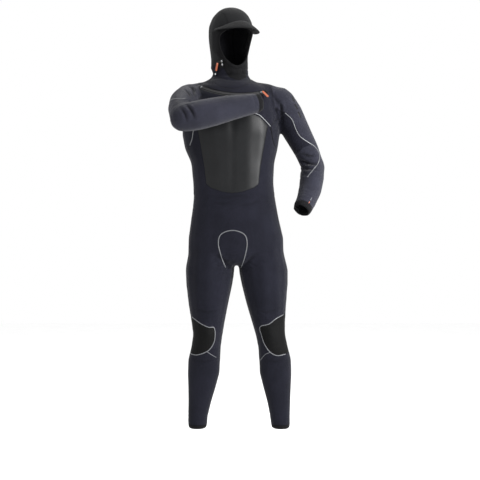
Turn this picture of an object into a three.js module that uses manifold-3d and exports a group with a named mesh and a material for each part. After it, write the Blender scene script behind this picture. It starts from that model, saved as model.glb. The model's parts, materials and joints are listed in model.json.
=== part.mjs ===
// A hooded full wetsuit, filled out as it is when worn: one hand at the opposite shoulder, one at the hip.
// Millimetres. +X is the wearer's left, -Y is the front, +Z is up.
// Heights in this file count from the floor that the wearer stands on; the whole group is then
// lowered so that the origin is the point between the shoulders where a hanger or a body holds the suit.
import * as THREE from 'three';
import { LoftGeometry } from 'three/addons/geometries/LoftGeometry.js';
import { mergeVertices } from 'three/addons/utils/BufferGeometryUtils.js';
import Module from 'manifold-3d';

const wasm = await Module();
wasm.setup();

// ---------------------------------------------------------------- driving dimensions
const THICKNESS = 5;            // body neoprene
const GAP = 0.3;                // between touching pieces
const OVERRUN = 14;             // how far the hollow runs past a cuff or hem
const ORIGIN_HEIGHT = 1515;     // the wearer mount, above the floor
const BODY_SIDES = 20;          // facets round the torso
const LIMB_SIDES = 12;          // facets round an arm or a leg
const HOOD_SIDES = 16;
const CURVE_STEPS = 18;         // points on a smoothed outline
const TAPE_BASE = 0.3;          // seam tape: clear of the neoprene by this much
const TAPE_TOP = 1.9;           // and this proud of it
const TAPE_WIDTH = 5;
const LINING_TOP = -5.4;        // thermal lining, inside the neoprene
const LINING_BASE = -7;
const BARRIER_TOP = -8.6;        // the flap behind the zip
const BARRIER_BASE = -10.4;
const CUFF_LENGTH = 23;
const HEM_HEIGHT = 18;
const ELBOW_REACH = 85;         // the elbow panel is cut by a ball of this radius
const FACE_SEAL_WIDTH = 11;
const SIDE_SEAM_Y = 8;          // front and back panels meet here

const X = new THREE.Vector3(1, 0, 0);
const Y = new THREE.Vector3(0, 1, 0);
const Z = new THREE.Vector3(0, 0, 1);
const FRONT = new THREE.Vector3(0, -1, 0);

// Cross-sections from the top down: [x, y, z, half width, depth in front, depth behind].
const TORSO = [
  [-24, 16, 1606, 56, 46, 50],
  [-24, 14, 1580, 102, 74, 82],
  [-22, 10, 1552, 152, 95, 108],
  [-20, 5, 1510, 186, 115, 122],
  [-20, 0, 1440, 198, 128, 128],
  [-20, 0, 1360, 203, 130, 122],
  [-19, 0, 1300, 193, 124, 112],
  [-13, 0, 1240, 173, 116, 102],
  [-11, 0, 1160, 167, 108, 98],
  [-6, 0, 1090, 169, 106, 102],
  [-4, 0, 1010, 182, 108, 116],
  [0, 2, 930, 197, 107, 130],
  [0, 2, 870, 199, 102, 130],
  [2, 2, 838, 170, 88, 112],
  [3, 2, 816, 110, 60, 76],
];
const NECK = [
  [-22, -2, 1690, 72, 68, 74],
  [-22, 8, 1625, 73, 66, 70],
  [-24, 16, 1560, 84, 72, 74],
];
// [z, half width, front, back, y, x of the right leg, x of the left leg]
const LEG = [
  [900, 86, 90, 112, 4, -106, 106],
  [800, 103, 97, 110, 3, -107, 113],
  [740, 97, 93, 102, 0, -110, 119],
  [660, 84, 84, 86, -3, -114, 126],
  [590, 71, 74, 70, -6, -115, 134],
  [530, 62, 68, 60, -8, -116, 143],
  [480, 62, 62, 56, -6, -123, 153],
  [430, 66, 56, 68, 0, -130, 161],
  [370, 66, 50, 76, 4, -133, 164],
  [310, 58, 47, 66, 8, -141, 171],
  [250, 49, 43, 54, 12, -150, 178],
  [190, 42, 41, 46, 15, -158, 183],
  [137, 38, 42, 43, 16, -160, 187],
];
// Limb stretches: [x, y, z, radius].
const RIGHT_SHOULDER = [[-80, 12, 1532, 50], [-140, 6, 1518, 60], [-184, -4, 1500, 65]];
const RIGHT_UPPER_ARM = [
  [-188, -8, 1498, 71], [-205, -90, 1474, 66], [-212, -170, 1445, 60], [-205, -262, 1402, 53],
];
const RIGHT_FOREARM = [
  [-205, -266, 1400, 56], [-150, -270, 1409, 59], [-90, -257, 1424, 57],
  [-20, -232, 1443, 51], [45, -206, 1458, 43], [100, -185, 1471, 36],
];
const LEFT_SHOULDER = [[60, 12, 1534, 48], [120, 8, 1518, 55], [172, 6, 1494, 61]];
const LEFT_UPPER_ARM = [
  [178, 6, 1490, 68], [215, 10, 1438, 64], [258, 20, 1362, 57], [296, 32, 1292, 52], [320, 39, 1234, 47],
];
const LEFT_FOREARM = [
  [322, 40, 1230, 50], [316, 10, 1178, 50], [305, -25, 1125, 47], [287, -65, 1078, 42], [267, -95, 1040, 37],
];

// The head is turned to its left and bowed. Hood sections: [height, half width, front, back].
const HEAD_CENTRE = new THREE.Vector3(-22, -20, 1767);
const HEAD_TURN = THREE.MathUtils.degToRad(30);
const HEAD_BOW = THREE.MathUtils.degToRad(15);
const HOOD = [
  [113, 12, 14, 14],
  [106, 36, 44, 46],
  [90, 58, 72, 74],
  [60, 78, 97, 101],
  [20, 88, 107, 114],
  [-20, 85, 105, 108],
  [-60, 78, 99, 92],
  [-95, 70, 94, 75],
  [-120, 66, 84, 65],
  [-150, 66, 60, 62],
];

// The curved chest zip crosses the chest at these places [x, z], from its open to its closed end.
const ZIP_START = [-140, 1548];
const ZIP_MIDDLE = [-5, 1511];
const ZIP_END = [112, 1525];
const ZIP_SLOT = 21;            // width of the slot in the neoprene
const ZIP_CHAIN_WIDTH = 6;
const ZIP_PITCH = 6;            // a tooth block and the space after it
const SLIDER_LENGTH = 14;
const PULL_LENGTH = 36;
const PULL_THICKNESS = 1.8;
const PULL_LEAN = THREE.MathUtils.degToRad(-14);

// The hood's drawcord: places [x, z] on the front of the hood's lower edge.
const UPPER_EYELET = [-58, 1652];
const LOWER_EYELET = [-55, 1639];
const TOGGLE_TOP = [-72, 1649];
const TOGGLE_FOOT = [-79, 1619];
const TOGGLE_LIFT = 6.5;
const CORD_RADIUS = 1.2;
const CORD_TAIL = 12;

const RIGHT_ELBOW = new THREE.Vector3(-205, -266, 1400);
const LEFT_ELBOW = new THREE.Vector3(322, 40, 1230);
const KNEE_TOP = 622;           // the knee stretch of each leg, which creases when the knee bends
const KNEE_BOTTOM = 436;
const MIDDLE = -14;             // the suit's centre line across the chest

// ---------------------------------------------------------------- materials
function material(color, roughness, metalness = 0) {
  return new THREE.MeshStandardMaterial({ color, roughness, metalness });
}
const jersey = material(0x2a2b35, 0.85);
const sleeveJersey = material(0x34353f, 0.85);
const smoothskin = material(0x3a3b3d, 0.35);
const kneeFabric = material(0x232425, 0.7);
const blackJersey = material(0x121213, 0.9);
const hoodJersey = material(0x252628, 0.9);
const seamTape = material(0x74767a, 0.45);
const lining = material(0x1c1c22, 1);
const darkPlastic = material(0x1a1a1c, 0.4);
const metal = material(0x8c8f94, 0.35, 0.9);
const cordBlack = material(0x151516, 0.8);
const orange = material(0xb0532f, 0.6);

// ---------------------------------------------------------------- solids and booleans
function toSolid(geometry) {
  const bare = new THREE.BufferGeometry();
  bare.setAttribute('position', geometry.attributes.position);
  bare.setIndex(geometry.index);
  const merged = mergeVertices(bare, 1e-4);
  return new wasm.Manifold(new wasm.Mesh({
    numProp: 3,
    vertProperties: new Float32Array(merged.attributes.position.array),
    triVerts: new Uint32Array(merged.index.array),
  }));
}

function toGeometry(solid) {
  const mesh = solid.getMesh();
  const geometry = new THREE.BufferGeometry();
  geometry.setAttribute('position', new THREE.BufferAttribute(new Float32Array(mesh.vertProperties), 3));
  geometry.setIndex(new THREE.BufferAttribute(new Uint32Array(mesh.triVerts), 1));
  return geometry;
}

const joined = (solids) => solids.reduce((sum, solid) => sum.add(solid));

// ---------------------------------------------------------------- tubes with oval sections
function section(at, u, v, half, front, back) {
  return { at, u, v, half, front, back };
}

function sectionPoints(s, sides, squareness) {
  const points = [];
  for (let i = 0; i < sides; i += 1) {
    const turn = (i / sides) * 2 * Math.PI;
    const across = Math.sign(Math.cos(turn)) * Math.abs(Math.cos(turn)) ** squareness * s.half;
    const depth = Math.sin(turn) > 0 ? s.front : s.back;
    const along = Math.sign(Math.sin(turn)) * Math.abs(Math.sin(turn)) ** squareness * depth;
    points.push(s.at.clone().addScaledVector(s.u, across).addScaledVector(s.v, along));
  }
  return points;
}

const girth = (s) => s.half / 2 + (s.front + s.back) / 4;

// The same tube with its wall moved out by `offset`, measured square to the wall.
function swollen(sections, offset) {
  return sections.map((s, i) => {
    const before = sections[Math.max(i - 1, 0)];
    const after = sections[Math.min(i + 1, sections.length - 1)];
    const slope = (girth(after) - girth(before)) / before.at.distanceTo(after.at);
    const across = offset / Math.hypot(1, slope);
    const run = after.at.clone().sub(before.at).normalize();
    const at = s.at.clone().addScaledVector(run, -across * slope);
    return section(at, s.u, s.v, s.half + across, s.front + across, s.back + across);
  });
}

function runOn(sections, length) {
  const last = sections[sections.length - 1];
  const run = last.at.clone().sub(sections[sections.length - 2].at).normalize();
  const beyond = { ...last, at: last.at.clone().addScaledVector(run, length) };
  return [...sections, beyond];
}

function tubeSolid(tube, offset, overrun) {
  let sections = swollen(tube.sections, offset);
  if (tube.open && overrun > 0) {
    sections = runOn(sections, overrun);
  }
  const points = sections.map((s) => sectionPoints(s, tube.sides, tube.squareness));
  return toSolid(new LoftGeometry(points, { capStart: true, capEnd: true }));
}

function uprightTube(rows, sides, squareness) {
  const sections = rows.map(([x, y, z, half, front, back]) => (
    section(new THREE.Vector3(x, y, z), X, FRONT, half, front, back)));
  return { sections, sides, squareness, open: false };
}

function legTube(column) {
  const sections = LEG.map((row) => {
    const [z, half, front, back, y] = row;
    return section(new THREE.Vector3(row[column], y, z), X, FRONT, half, front, back);
  });
  return { sections, sides: LIMB_SIDES, squareness: 1, open: true };
}

// Round sections that close a limb's end: a quarter circle of shrinking rings.
const DOME_STEPS = [0.55, 0.9];
function limbTube(rows, across, domes, open) {
  const points = rows.map(([x, y, z]) => new THREE.Vector3(x, y, z));
  const sections = rows.map((row, i) => {
    const before = points[Math.max(i - 1, 0)];
    const after = points[Math.min(i + 1, points.length - 1)];
    const run = after.clone().sub(before).normalize();
    const u = new THREE.Vector3().crossVectors(across, run).normalize();
    const v = new THREE.Vector3().crossVectors(run, u);
    const radius = row[3];
    return { ...section(points[i], u, v, radius, radius, radius), run };
  });
  const capped = (s, way) => DOME_STEPS.map((step) => {
    const radius = s.half * Math.sqrt(1 - step * step);
    const at = s.at.clone().addScaledVector(s.run, way * step * s.half);
    return { ...s, at, half: radius, front: radius, back: radius };
  });
  const start = domes.start ? capped(sections[0], -1).reverse() : [];
  const end = domes.end ? capped(sections[sections.length - 1], 1) : [];
  return { sections: [...start, ...sections, ...end], sides: LIMB_SIDES, squareness: 1, open };
}

const turned = new THREE.Vector3(Math.sin(HEAD_TURN), -Math.cos(HEAD_TURN), 0);
const headLeft = new THREE.Vector3(Math.cos(HEAD_TURN), Math.sin(HEAD_TURN), 0);
const headFront = turned.clone().multiplyScalar(Math.cos(HEAD_BOW)).addScaledVector(Z, -Math.sin(HEAD_BOW));
const headUp = Z.clone().multiplyScalar(Math.cos(HEAD_BOW)).addScaledVector(turned, Math.sin(HEAD_BOW));

function hoodTube() {
  const sections = HOOD.map(([height, half, front, back]) => {
    const at = HEAD_CENTRE.clone().addScaledVector(headUp, height);
    return section(at, headLeft, headFront, half, front, back);
  });
  return { sections, sides: HOOD_SIDES, squareness: 1, open: false };
}

const TORSO_SQUARENESS = 0.88;
const bothEnds = { start: true, end: true };
const nearEnd = { start: true, end: false };
const noEnd = { start: false, end: false };
const armTubes = {
  right: [limbTube(RIGHT_UPPER_ARM, Z, bothEnds, false), limbTube(RIGHT_FOREARM, Z, nearEnd, true)],
  left: [limbTube(LEFT_UPPER_ARM, Y, bothEnds, false), limbTube(LEFT_FOREARM, Y, nearEnd, true)],
};
const shoulderTubes = {
  right: limbTube(RIGHT_SHOULDER, Z, noEnd, false),
  left: limbTube(LEFT_SHOULDER, Y, noEnd, false),
};
const torsoTube = uprightTube(TORSO, BODY_SIDES, TORSO_SQUARENESS);
const hood = hoodTube();
const RIGHT_LEG_X = 5;          // columns of LEG
const LEFT_LEG_X = 6;
const trunkTubes = [
  torsoTube, uprightTube(NECK, HOOD_SIDES, 1), hood, legTube(RIGHT_LEG_X), legTube(LEFT_LEG_X),
  shoulderTubes.right, shoulderTubes.left,
];
const bodyTubes = [...trunkTubes, ...armTubes.right, ...armTubes.left];
const bodySolid = (offset, overrun = 0) => joined(bodyTubes.map((tube) => tubeSolid(tube, offset, overrun)));

// ---------------------------------------------------------------- outlines and the solids they cut
const flat = (pairs) => pairs.map(([a, b]) => new THREE.Vector2(a, b));
const smooth = (pairs, steps = CURVE_STEPS) => new THREE.SplineCurve(flat(pairs)).getPoints(steps);
function smoothLoop(pairs, steps = CURVE_STEPS) {
  const curve = new THREE.CatmullRomCurve3(pairs.map(([a, b]) => new THREE.Vector3(a, b, 0)), true);
  return curve.getPoints(steps).slice(0, -1).map((p) => new THREE.Vector2(p.x, p.y));
}
const mirrored = (pairs) => pairs.map(([a, b]) => [2 * MIDDLE - a, b]).reverse();

// Each corner of a closed outline, moved out by `margin` square to both of its sides.
function grown(outline, margin) {
  const sign = THREE.ShapeUtils.area(outline) > 0 ? 1 : -1;
  const count = outline.length;
  return outline.map((p, i) => {
    const into = p.clone().sub(outline[(i + count - 1) % count]).normalize();
    const away = outline[(i + 1) % count].clone().sub(p).normalize();
    const normal = new THREE.Vector2(into.y + away.y, -into.x - away.x).normalize();
    const lean = Math.max(0.4, normal.x * into.y - normal.y * into.x);
    return p.clone().addScaledVector(normal, (sign * margin) / lean);
  });
}

// A band of even width along an open line.
function band(line, width) {
  const sides = [1, -1].map((side) => line.map((p, i) => {
    const before = line[Math.max(i - 1, 0)];
    const after = line[Math.min(i + 1, line.length - 1)];
    const run = after.clone().sub(before).normalize();
    return new THREE.Vector2(p.x - (run.y * side * width) / 2, p.y + (run.x * side * width) / 2);
  }));
  return [...sides[1], ...sides[0].reverse()];
}

// A straight-sided solid: an outline drawn across `right` and `up`, from `near` to `far` along the third axis.
function prism(outline, near, far, origin, right, up) {
  const geometry = new THREE.ExtrudeGeometry(new THREE.Shape(outline), {
    depth: far - near, bevelEnabled: false, steps: 1, curveSegments: 1,
  });
  geometry.translate(0, 0, near);
  const basis = new THREE.Matrix4().makeBasis(right, up, new THREE.Vector3().crossVectors(right, up));
  geometry.applyMatrix4(basis.setPosition(origin));
  return toSolid(geometry);
}
const FAR = 500;
const ORIGIN = new THREE.Vector3();
// Seen from the front: x to the right, z up. Depth counts forwards from y = 0.
const fromFront = (outline, near = -FAR, far = FAR) => prism(outline, near, far, ORIGIN, X, Z);
const fromHead = (outline, near, far) => prism(outline, near, far, HEAD_CENTRE, headLeft, headUp);

// Everything on the far side of a plane, as a big block.
function beyond(point, normal, margin = 0) {
  const geometry = new THREE.BoxGeometry(8 * FAR, 8 * FAR, 8 * FAR);
  geometry.translate(0, 0, 4 * FAR - margin);
  const turn = new THREE.Quaternion().setFromUnitVectors(Z, normal.clone().normalize());
  geometry.applyQuaternion(turn);
  geometry.translate(point.x, point.y, point.z);
  return toSolid(geometry);
}

function ball(centre, radius) {
  const geometry = new THREE.SphereGeometry(radius, 12, 8);
  geometry.translate(centre.x, centre.y, centre.z);
  return toSolid(geometry);
}

// ---------------------------------------------------------------- the named pieces
const wetsuit = new THREE.Group();
wetsuit.position.set(0, 0, -ORIGIN_HEIGHT);
// Each piece is one lump: a cut can leave slivers beside it, and they are trimmed away.
function piece(name, solid, finish) {
  const [main] = solid.decompose().sort((a, b) => b.volume() - a.volume());
  const mesh = new THREE.Mesh(toGeometry(main), finish);
  mesh.name = name;
  wetsuit.add(mesh);
}

const MIN_CHIP = 400;           // slivers of neoprene under this volume are trimmed away
const lumpsOf = (solid) => solid.decompose().filter((lump) => lump.volume() > MIN_CHIP);
const mainLumps = (solid) => joined(lumpsOf(solid));

// Cuts a region out of a sheet of neoprene. `region(margin)` is the region grown by a margin.
function cutOut(sheet, region) {
  return { inside: sheet.intersect(region(-GAP / 2)), outside: sheet.subtract(region(GAP / 2)) };
}

const outerBody = bodySolid(0);
const hollow = bodySolid(-THICKNESS, OVERRUN);
const tapeLayer = bodySolid(TAPE_TOP).subtract(bodySolid(TAPE_BASE, OVERRUN));

// The place and the outward direction of the suit's front, straight in front of [x, z].
const torsoSurface = new THREE.Mesh(toGeometry(joined(trunkTubes.map((tube) => tubeSolid(tube, 0, 0)))));
function onFront([x, z]) {
  const [hit] = new THREE.Raycaster(new THREE.Vector3(x, -FAR, z), Y).intersectObject(torsoSurface);
  return { point: hit.point, normal: hit.face.normal };
}

// ---------------------------------------------------------------- face opening
const FACE = [
  [0, 40], [52, 31], [75, 2], [70, -45], [46, -92], [0, -115], [-46, -92], [-70, -45], [-75, 2], [-52, 31],
];
const faceOutline = smoothLoop(FACE, 20);
const faceOpening = fromHead(faceOutline, 0, 200);
let shell = outerBody.subtract(hollow).subtract(faceOpening);

// ---------------------------------------------------------------- zip: a curved track across the chest
function circleThrough(a, b, c) {
  const ab = b.clone().sub(a);
  const ac = c.clone().sub(a);
  const axis = new THREE.Vector3().crossVectors(ab, ac);
  const centre = new THREE.Vector3().crossVectors(axis, ab).multiplyScalar(ac.lengthSq());
  centre.add(new THREE.Vector3().crossVectors(ac, axis).multiplyScalar(ab.lengthSq()));
  centre.divideScalar(2 * axis.lengthSq()).add(a);
  return { centre, axis: axis.normalize(), radius: centre.distanceTo(a) };
}
const zipEnd = onFront(ZIP_END).point;
const zipMiddle = onFront(ZIP_MIDDLE);
const zip = circleThrough(onFront(ZIP_START).point, zipMiddle.point, zipEnd);
if (zip.axis.z < 0) {
  zip.axis.negate();
}
zip.from = onFront(ZIP_START).point.clone().sub(zip.centre).normalize();
zip.side = new THREE.Vector3().crossVectors(zip.axis, zip.from);
zip.sweep = zip.from.angleTo(zipEnd.clone().sub(zip.centre));
// How far the chest leans back under the zip.
const ZIP_TILT = Math.atan2(zipMiddle.normal.dot(zip.axis),
  zipMiddle.normal.dot(zipMiddle.point.clone().sub(zip.centre).normalize()));

// A point of the track: `angle` round from the open end, `up` the chest and `out` from its surface.
function zipPoint(angle, up, out) {
  const radial = zip.from.clone().multiplyScalar(Math.cos(angle)).addScaledVector(zip.side, Math.sin(angle));
  const [sin, cos] = [Math.sin(ZIP_TILT), Math.cos(ZIP_TILT)];
  const outward = radial.clone().multiplyScalar(cos).addScaledVector(zip.axis, sin);
  const upward = zip.axis.clone().multiplyScalar(cos).addScaledVector(radial, -sin);
  return zip.centre.clone().addScaledVector(radial, zip.radius)
    .addScaledVector(upward, up).addScaledVector(outward, out);
}
// A bar along the track. Its cross-section corners [up, out] run counter-clockwise seen from the closed end.
function zipBar(profileAt, from, to, steps) {
  const sections = [];
  for (let i = 0; i <= steps; i += 1) {
    const angle = from + ((to - from) * i) / steps;
    sections.push(profileAt(i).map(([up, out]) => zipPoint(angle, up, out)));
  }
  return toSolid(new LoftGeometry(sections, { capStart: true, capEnd: true }));
}
const bar = (low, high, base, top) => () => [[low, base], [high, base], [high, top], [low, top]];
const zipArc = (length) => length / zip.radius;
const TRACK_STEPS = 14;

const slotBar = bar(-ZIP_SLOT / 2, ZIP_SLOT / 2, -14, 9);
shell = shell.subtract(zipBar(slotBar, -zipArc(6), zip.sweep + zipArc(20), TRACK_STEPS));

const tapeInner = ZIP_CHAIN_WIDTH / 2 + 1.6;
const tapeOuter = ZIP_SLOT / 2 - GAP;
const ZIP_TAPE_BASE = -2.4;
const ZIP_TAPE_TOP = -1;
const zipTape = (low, high) => zipBar(
  bar(low, high, ZIP_TAPE_BASE, ZIP_TAPE_TOP), -zipArc(4), zip.sweep + zipArc(4), TRACK_STEPS);
piece('upper_zip_tape', zipTape(tapeInner, tapeOuter), cordBlack);
piece('lower_zip_tape', zipTape(-tapeOuter, -tapeInner), cordBlack);
const toothCount = 2 * Math.floor((zip.sweep * zip.radius) / ZIP_PITCH);
const toothProfile = (i) => {
  const top = i % 2 ? 0.2 : 1.2;
  const half = ZIP_CHAIN_WIDTH / 2 - (i % 2 ? 0.8 : 0);
  return [[-half, -1.6], [half, -1.6], [half, top], [-half, top]];
};
piece('zip_teeth', zipBar(toothProfile, 0, zip.sweep, toothCount), darkPlastic);

const sliderHalf = ZIP_CHAIN_WIDTH / 2 + 1.2;
const sliderProfile = () => [
  [-sliderHalf, -1.4], [-sliderHalf + 0.8, -1.4], [-sliderHalf + 0.8, 1.7], [sliderHalf - 0.8, 1.7],
  [sliderHalf - 0.8, -1.4], [sliderHalf, -1.4], [sliderHalf, 3.6], [-sliderHalf, 3.6],
];
const sliderFrom = zip.sweep - zipArc(SLIDER_LENGTH);
piece('zip_slider', zipBar(sliderProfile, sliderFrom, zip.sweep, 4).add(
  zipBar(bar(-1.6, 1.6, 3.5, 6), sliderFrom + zipArc(3), zip.sweep - zipArc(3), 3)), metal);

// The pull hangs from the slider down the chest. It turns about a line along the track, just over the slider.
const pullAngle = zip.sweep - zipArc(SLIDER_LENGTH / 2);
const PULL_HINGE_OUT = 8.6;     // from the chest, clear of the slider's bridge
const pullHinge = zipPoint(pullAngle, 0, PULL_HINGE_OUT);
const pullAlong = zipPoint(pullAngle + zipArc(1), 0, 0)
  .sub(zipPoint(pullAngle - zipArc(1), 0, 0)).normalize();
const pullOut = pullHinge.clone().sub(zipPoint(pullAngle, 0, 0)).normalize();
const pullDown = new THREE.Vector3().crossVectors(pullAlong, pullOut).normalize();
if (pullDown.z > 0) {
  pullDown.negate();
}
// It leans away from the chest, which swells under it.
pullDown.applyAxisAngle(pullAlong, PULL_LEAN);
pullOut.applyAxisAngle(pullAlong, PULL_LEAN);
function pullShape() {
  const half = 4.5;
  const above = 2.2;            // how far the tab reaches past its hinge: short, to swing clear of the slider
  const shape = new THREE.Shape();
  shape.absarc(0, above - half, half, 0, Math.PI, false);
  shape.lineTo(-half - 1, -PULL_LENGTH);
  shape.quadraticCurveTo(0, -PULL_LENGTH - 4, half + 1, -PULL_LENGTH);
  shape.closePath();
  return shape.getPoints(8);
}
piece('zip_pull', prism(pullShape(), -PULL_THICKNESS / 2, PULL_THICKNESS / 2, pullHinge,
  new THREE.Vector3().crossVectors(pullDown, pullOut).negate(), pullDown.clone().negate()), orange);

const garageFrom = zip.sweep + zipArc(1);
piece('zip_garage', zipBar(bar(-7, 7, -0.6, 1.4), garageFrom, garageFrom + zipArc(18), 4), blackJersey);
piece('zip_stop', zipBar(bar(-4.4, 4.4, -0.8, 1.6), -zipArc(3.6), -zipArc(0.4), 2), metal);
const barrierLayer = tubeSolid(torsoTube, BARRIER_TOP, 0).subtract(tubeSolid(torsoTube, BARRIER_BASE, 0));
piece('zip_barrier', barrierLayer.intersect(
  zipBar(bar(-19, 19, -26, 6), -zipArc(2), zip.sweep + zipArc(10), TRACK_STEPS)), lining);

// ---------------------------------------------------------------- sleeves
const armholes = {
  right: { point: new THREE.Vector3(-160, 0, 1480), normal: new THREE.Vector3(-0.93, -0.36, 0) },
  left: { point: new THREE.Vector3(162, 0, 1480), normal: new THREE.Vector3(0.98, -0.1, 0.16) },
};
const ARM_CLEARANCE = 4;
function sleeveRegion(side, shoulderTube) {
  const { point, normal } = armholes[side];
  const [upperTube, foreTube] = armTubes[side];
  const wide = (tube, margin) => tubeSolid(tube, ARM_CLEARANCE + margin, OVERRUN);
  return (margin) => wide(upperTube, margin).add(wide(shoulderTube, margin))
    .intersect(beyond(point, normal, margin)).add(wide(foreTube, margin));
}
function cuffRegion(rows) {
  const [near, far] = rows.slice(-2).map(([x, y, z]) => new THREE.Vector3(x, y, z));
  const run = far.clone().sub(near).normalize();
  const point = far.clone().addScaledVector(run, -CUFF_LENGTH);
  const reach = (margin) => ball(far, 3 * CUFF_LENGTH + margin);
  return (margin) => beyond(point, run, margin).intersect(reach(margin));
}

const sleeves = {};
for (const side of ['right', 'left']) {
  const cut = cutOut(shell, sleeveRegion(side, shoulderTubes[side]));
  sleeves[side] = mainLumps(cut.inside);
  shell = mainLumps(cut.outside);
}

// Seam on the front of the left arm: armpit, outside of the elbow, inside of the forearm.
const LEFT_ARM_SEAM = [
  [201, 1443], [230, 1416], [245, 1380], [263, 1349], [293, 1328], [323, 1311], [342, 1290],
  [348, 1268], [340, 1238], [319, 1212], [293, 1179], [276, 1140], [262, 1090], [248, 1050],
];
const leftInside = [...smooth(LEFT_ARM_SEAM, 15), ...flat([[150, 1010], [110, 1440], [150, 1470]])];
const armSides = {
  right: (margin) => beyond(new THREE.Vector3(-210, -150, 1450), new THREE.Vector3(0.35, 0.4, -0.85), margin),
  left: (margin) => fromFront(grown(leftInside, margin)),
};
const ELBOW_SIDES = 16;
function circle(centre, radius, count) {
  const points = [];
  for (let i = 0; i < count; i += 1) {
    const turn = ((i + 0.5) / count) * 2 * Math.PI;
    points.push(new THREE.Vector2(centre.x + radius * Math.cos(turn), centre.z + radius * Math.sin(turn)));
  }
  return points;
}
// The right upper arm points forwards, so its elbow panel also starts at a plane square to that arm.
const elbowNear = { right: -RIGHT_ELBOW.y - 76, left: -FAR };
const elbowCentres = { right: RIGHT_ELBOW, left: LEFT_ELBOW };
const elbowRegion = (side) => (margin) => fromFront(
  circle(elbowCentres[side], ELBOW_REACH + margin, ELBOW_SIDES), elbowNear[side] - margin, FAR);
const forearmRows = { right: RIGHT_FOREARM, left: LEFT_FOREARM };
for (const side of ['right', 'left']) {
  const cuff = cutOut(sleeves[side], cuffRegion(forearmRows[side]));
  piece(`${side}_cuff`, mainLumps(cuff.inside), blackJersey);
  const elbow = cutOut(cuff.outside, elbowRegion(side));
  piece(`${side}_elbow_panel`, mainLumps(elbow.inside), sleeveJersey);
  const [upper, forearm] = lumpsOf(elbow.outside)
    .sort((a, b) => nearness(b, side) - nearness(a, side));
  piece(`${side}_forearm_panel`, forearm, sleeveJersey);
  const under = cutOut(upper, armSides[side]);
  piece(`${side}_underarm_panel`, under.inside, jersey);
  piece(`${side}_upper_sleeve`, under.outside, sleeveJersey);
}
// The upper sleeve is the part nearer the armhole: behind on the right arm, above on the left.
function nearness(solid, side) {
  const { min, max } = solid.boundingBox();
  return side === 'right' ? min[1] + max[1] : min[2] + max[2];
}

// ---------------------------------------------------------------- hood and collar
const sealRegion = (margin) => fromHead(grown(faceOutline, FACE_SEAL_WIDTH + margin), 0, 200);
const NECK_SEAM = [
  [-125, 1610], [-108, 1588], [-92, 1568], [-72, 1552], [-50, 1542], [-20, 1537],
  [10, 1540], [34, 1550], [54, 1568], [68, 1588], [84, 1610],
];
const neckSeam = smooth(NECK_SEAM, 12);
const aboveNeckSeam = [...neckSeam, ...flat([[300, 1700], [300, 1950], [-300, 1950], [-300, 1700]])];
const neckCut = cutOut(shell, (margin) => fromFront(grown(aboveNeckSeam, margin)));
shell = neckCut.outside;
const seal = cutOut(mainLumps(neckCut.inside), sealRegion);
piece('face_seal', seal.inside, blackJersey);

const CHIN_GUSSET = [
  [-60, 1700], [-48, 1628], [-38, 1606], [-20, 1586], [2, 1577],
  [26, 1580], [42, 1596], [54, 1624], [74, 1700],
];
const chinOutline = smooth(CHIN_GUSSET, 12);
const chin = cutOut(seal.outside, (margin) => fromFront(grown(chinOutline, margin), 20, FAR));
piece('chin_gusset', chin.inside, blackJersey);

const COLLAR_TOP = new THREE.Vector3(-22, 0, 1640);
const collarUp = new THREE.Vector3(0.12, -0.3, 1);
const hoodCut = cutOut(chin.outside, (margin) => beyond(COLLAR_TOP, collarUp, margin));
piece('collar_panel', hoodCut.outside, hoodJersey);
const CROWN_HALF = 58;
// The crown strip runs down to the collar behind the head, and only to the face opening in front.
const CROWN_OVERLAP = 10;
const crownStrip = (low, margin) => grown(flat([
  [-CROWN_HALF, low], [CROWN_HALF, low], [CROWN_HALF, 200], [-CROWN_HALF, 200],
]), margin);
const crown = cutOut(hoodCut.inside, (margin) => fromHead(crownStrip(-200, margin), -FAR, margin)
  .add(fromHead(crownStrip(0, margin), -CROWN_OVERLAP, FAR)));
piece('hood_crown_panel', crown.inside, hoodJersey);
const hoodSides = crown.outside.decompose().sort((a, b) => b.volume() - a.volume()).slice(0, 2)
  .sort((a, b) => a.boundingBox().min[0] - b.boundingBox().min[0]);
piece('hood_right_side_panel', hoodSides[0], hoodJersey);
piece('hood_left_side_panel', hoodSides[1], hoodJersey);

// The brim: an arched sheet that leaves the forehead, droops to the temples and slopes down.
const BRIM_REACH = 44;
const BRIM_THICKNESS = 5;
const BRIM_SPREAD = THREE.MathUtils.degToRad(74);
const BRIM_STEPS = 16;
const BRIM_ROOT_DEPTH = 5;      // the sheet starts inside the hood and is cut back to its surface
function hoodSectionAt(height) {
  const i = HOOD.findIndex((row) => row[0] < height);
  const [above, below] = [HOOD[i - 1], HOOD[i]];
  const part = (height - below[0]) / (above[0] - below[0]);
  return [1, 2].map((column) => below[column] + (above[column] - below[column]) * part);
}
function brim() {
  const sections = [];
  for (let i = 0; i <= BRIM_STEPS; i += 1) {
    const turn = BRIM_SPREAD * (1 - (2 * i) / BRIM_STEPS);
    const height = 70 - 48 * Math.sin(turn) ** 2;
    const [half, front] = hoodSectionAt(height);
    const reach = 4 + BRIM_REACH * Math.cos(turn) ** 1.2;
    const place = (out, drop) => HEAD_CENTRE.clone()
      .addScaledVector(headLeft, (half + out) * Math.sin(turn))
      .addScaledVector(headFront, (front + out) * Math.cos(turn))
      .addScaledVector(headUp, height - drop);
    const slope = 0.46 * reach;
    sections.push([
      place(-BRIM_ROOT_DEPTH, BRIM_THICKNESS), place(reach, slope + BRIM_THICKNESS),
      place(reach, slope), place(-BRIM_ROOT_DEPTH, 0),
    ]);
  }
  return toSolid(new LoftGeometry(sections, { capStart: true, capEnd: true })).subtract(bodySolid(GAP));
}
piece('hood_visor', brim(), hoodJersey);

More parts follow.
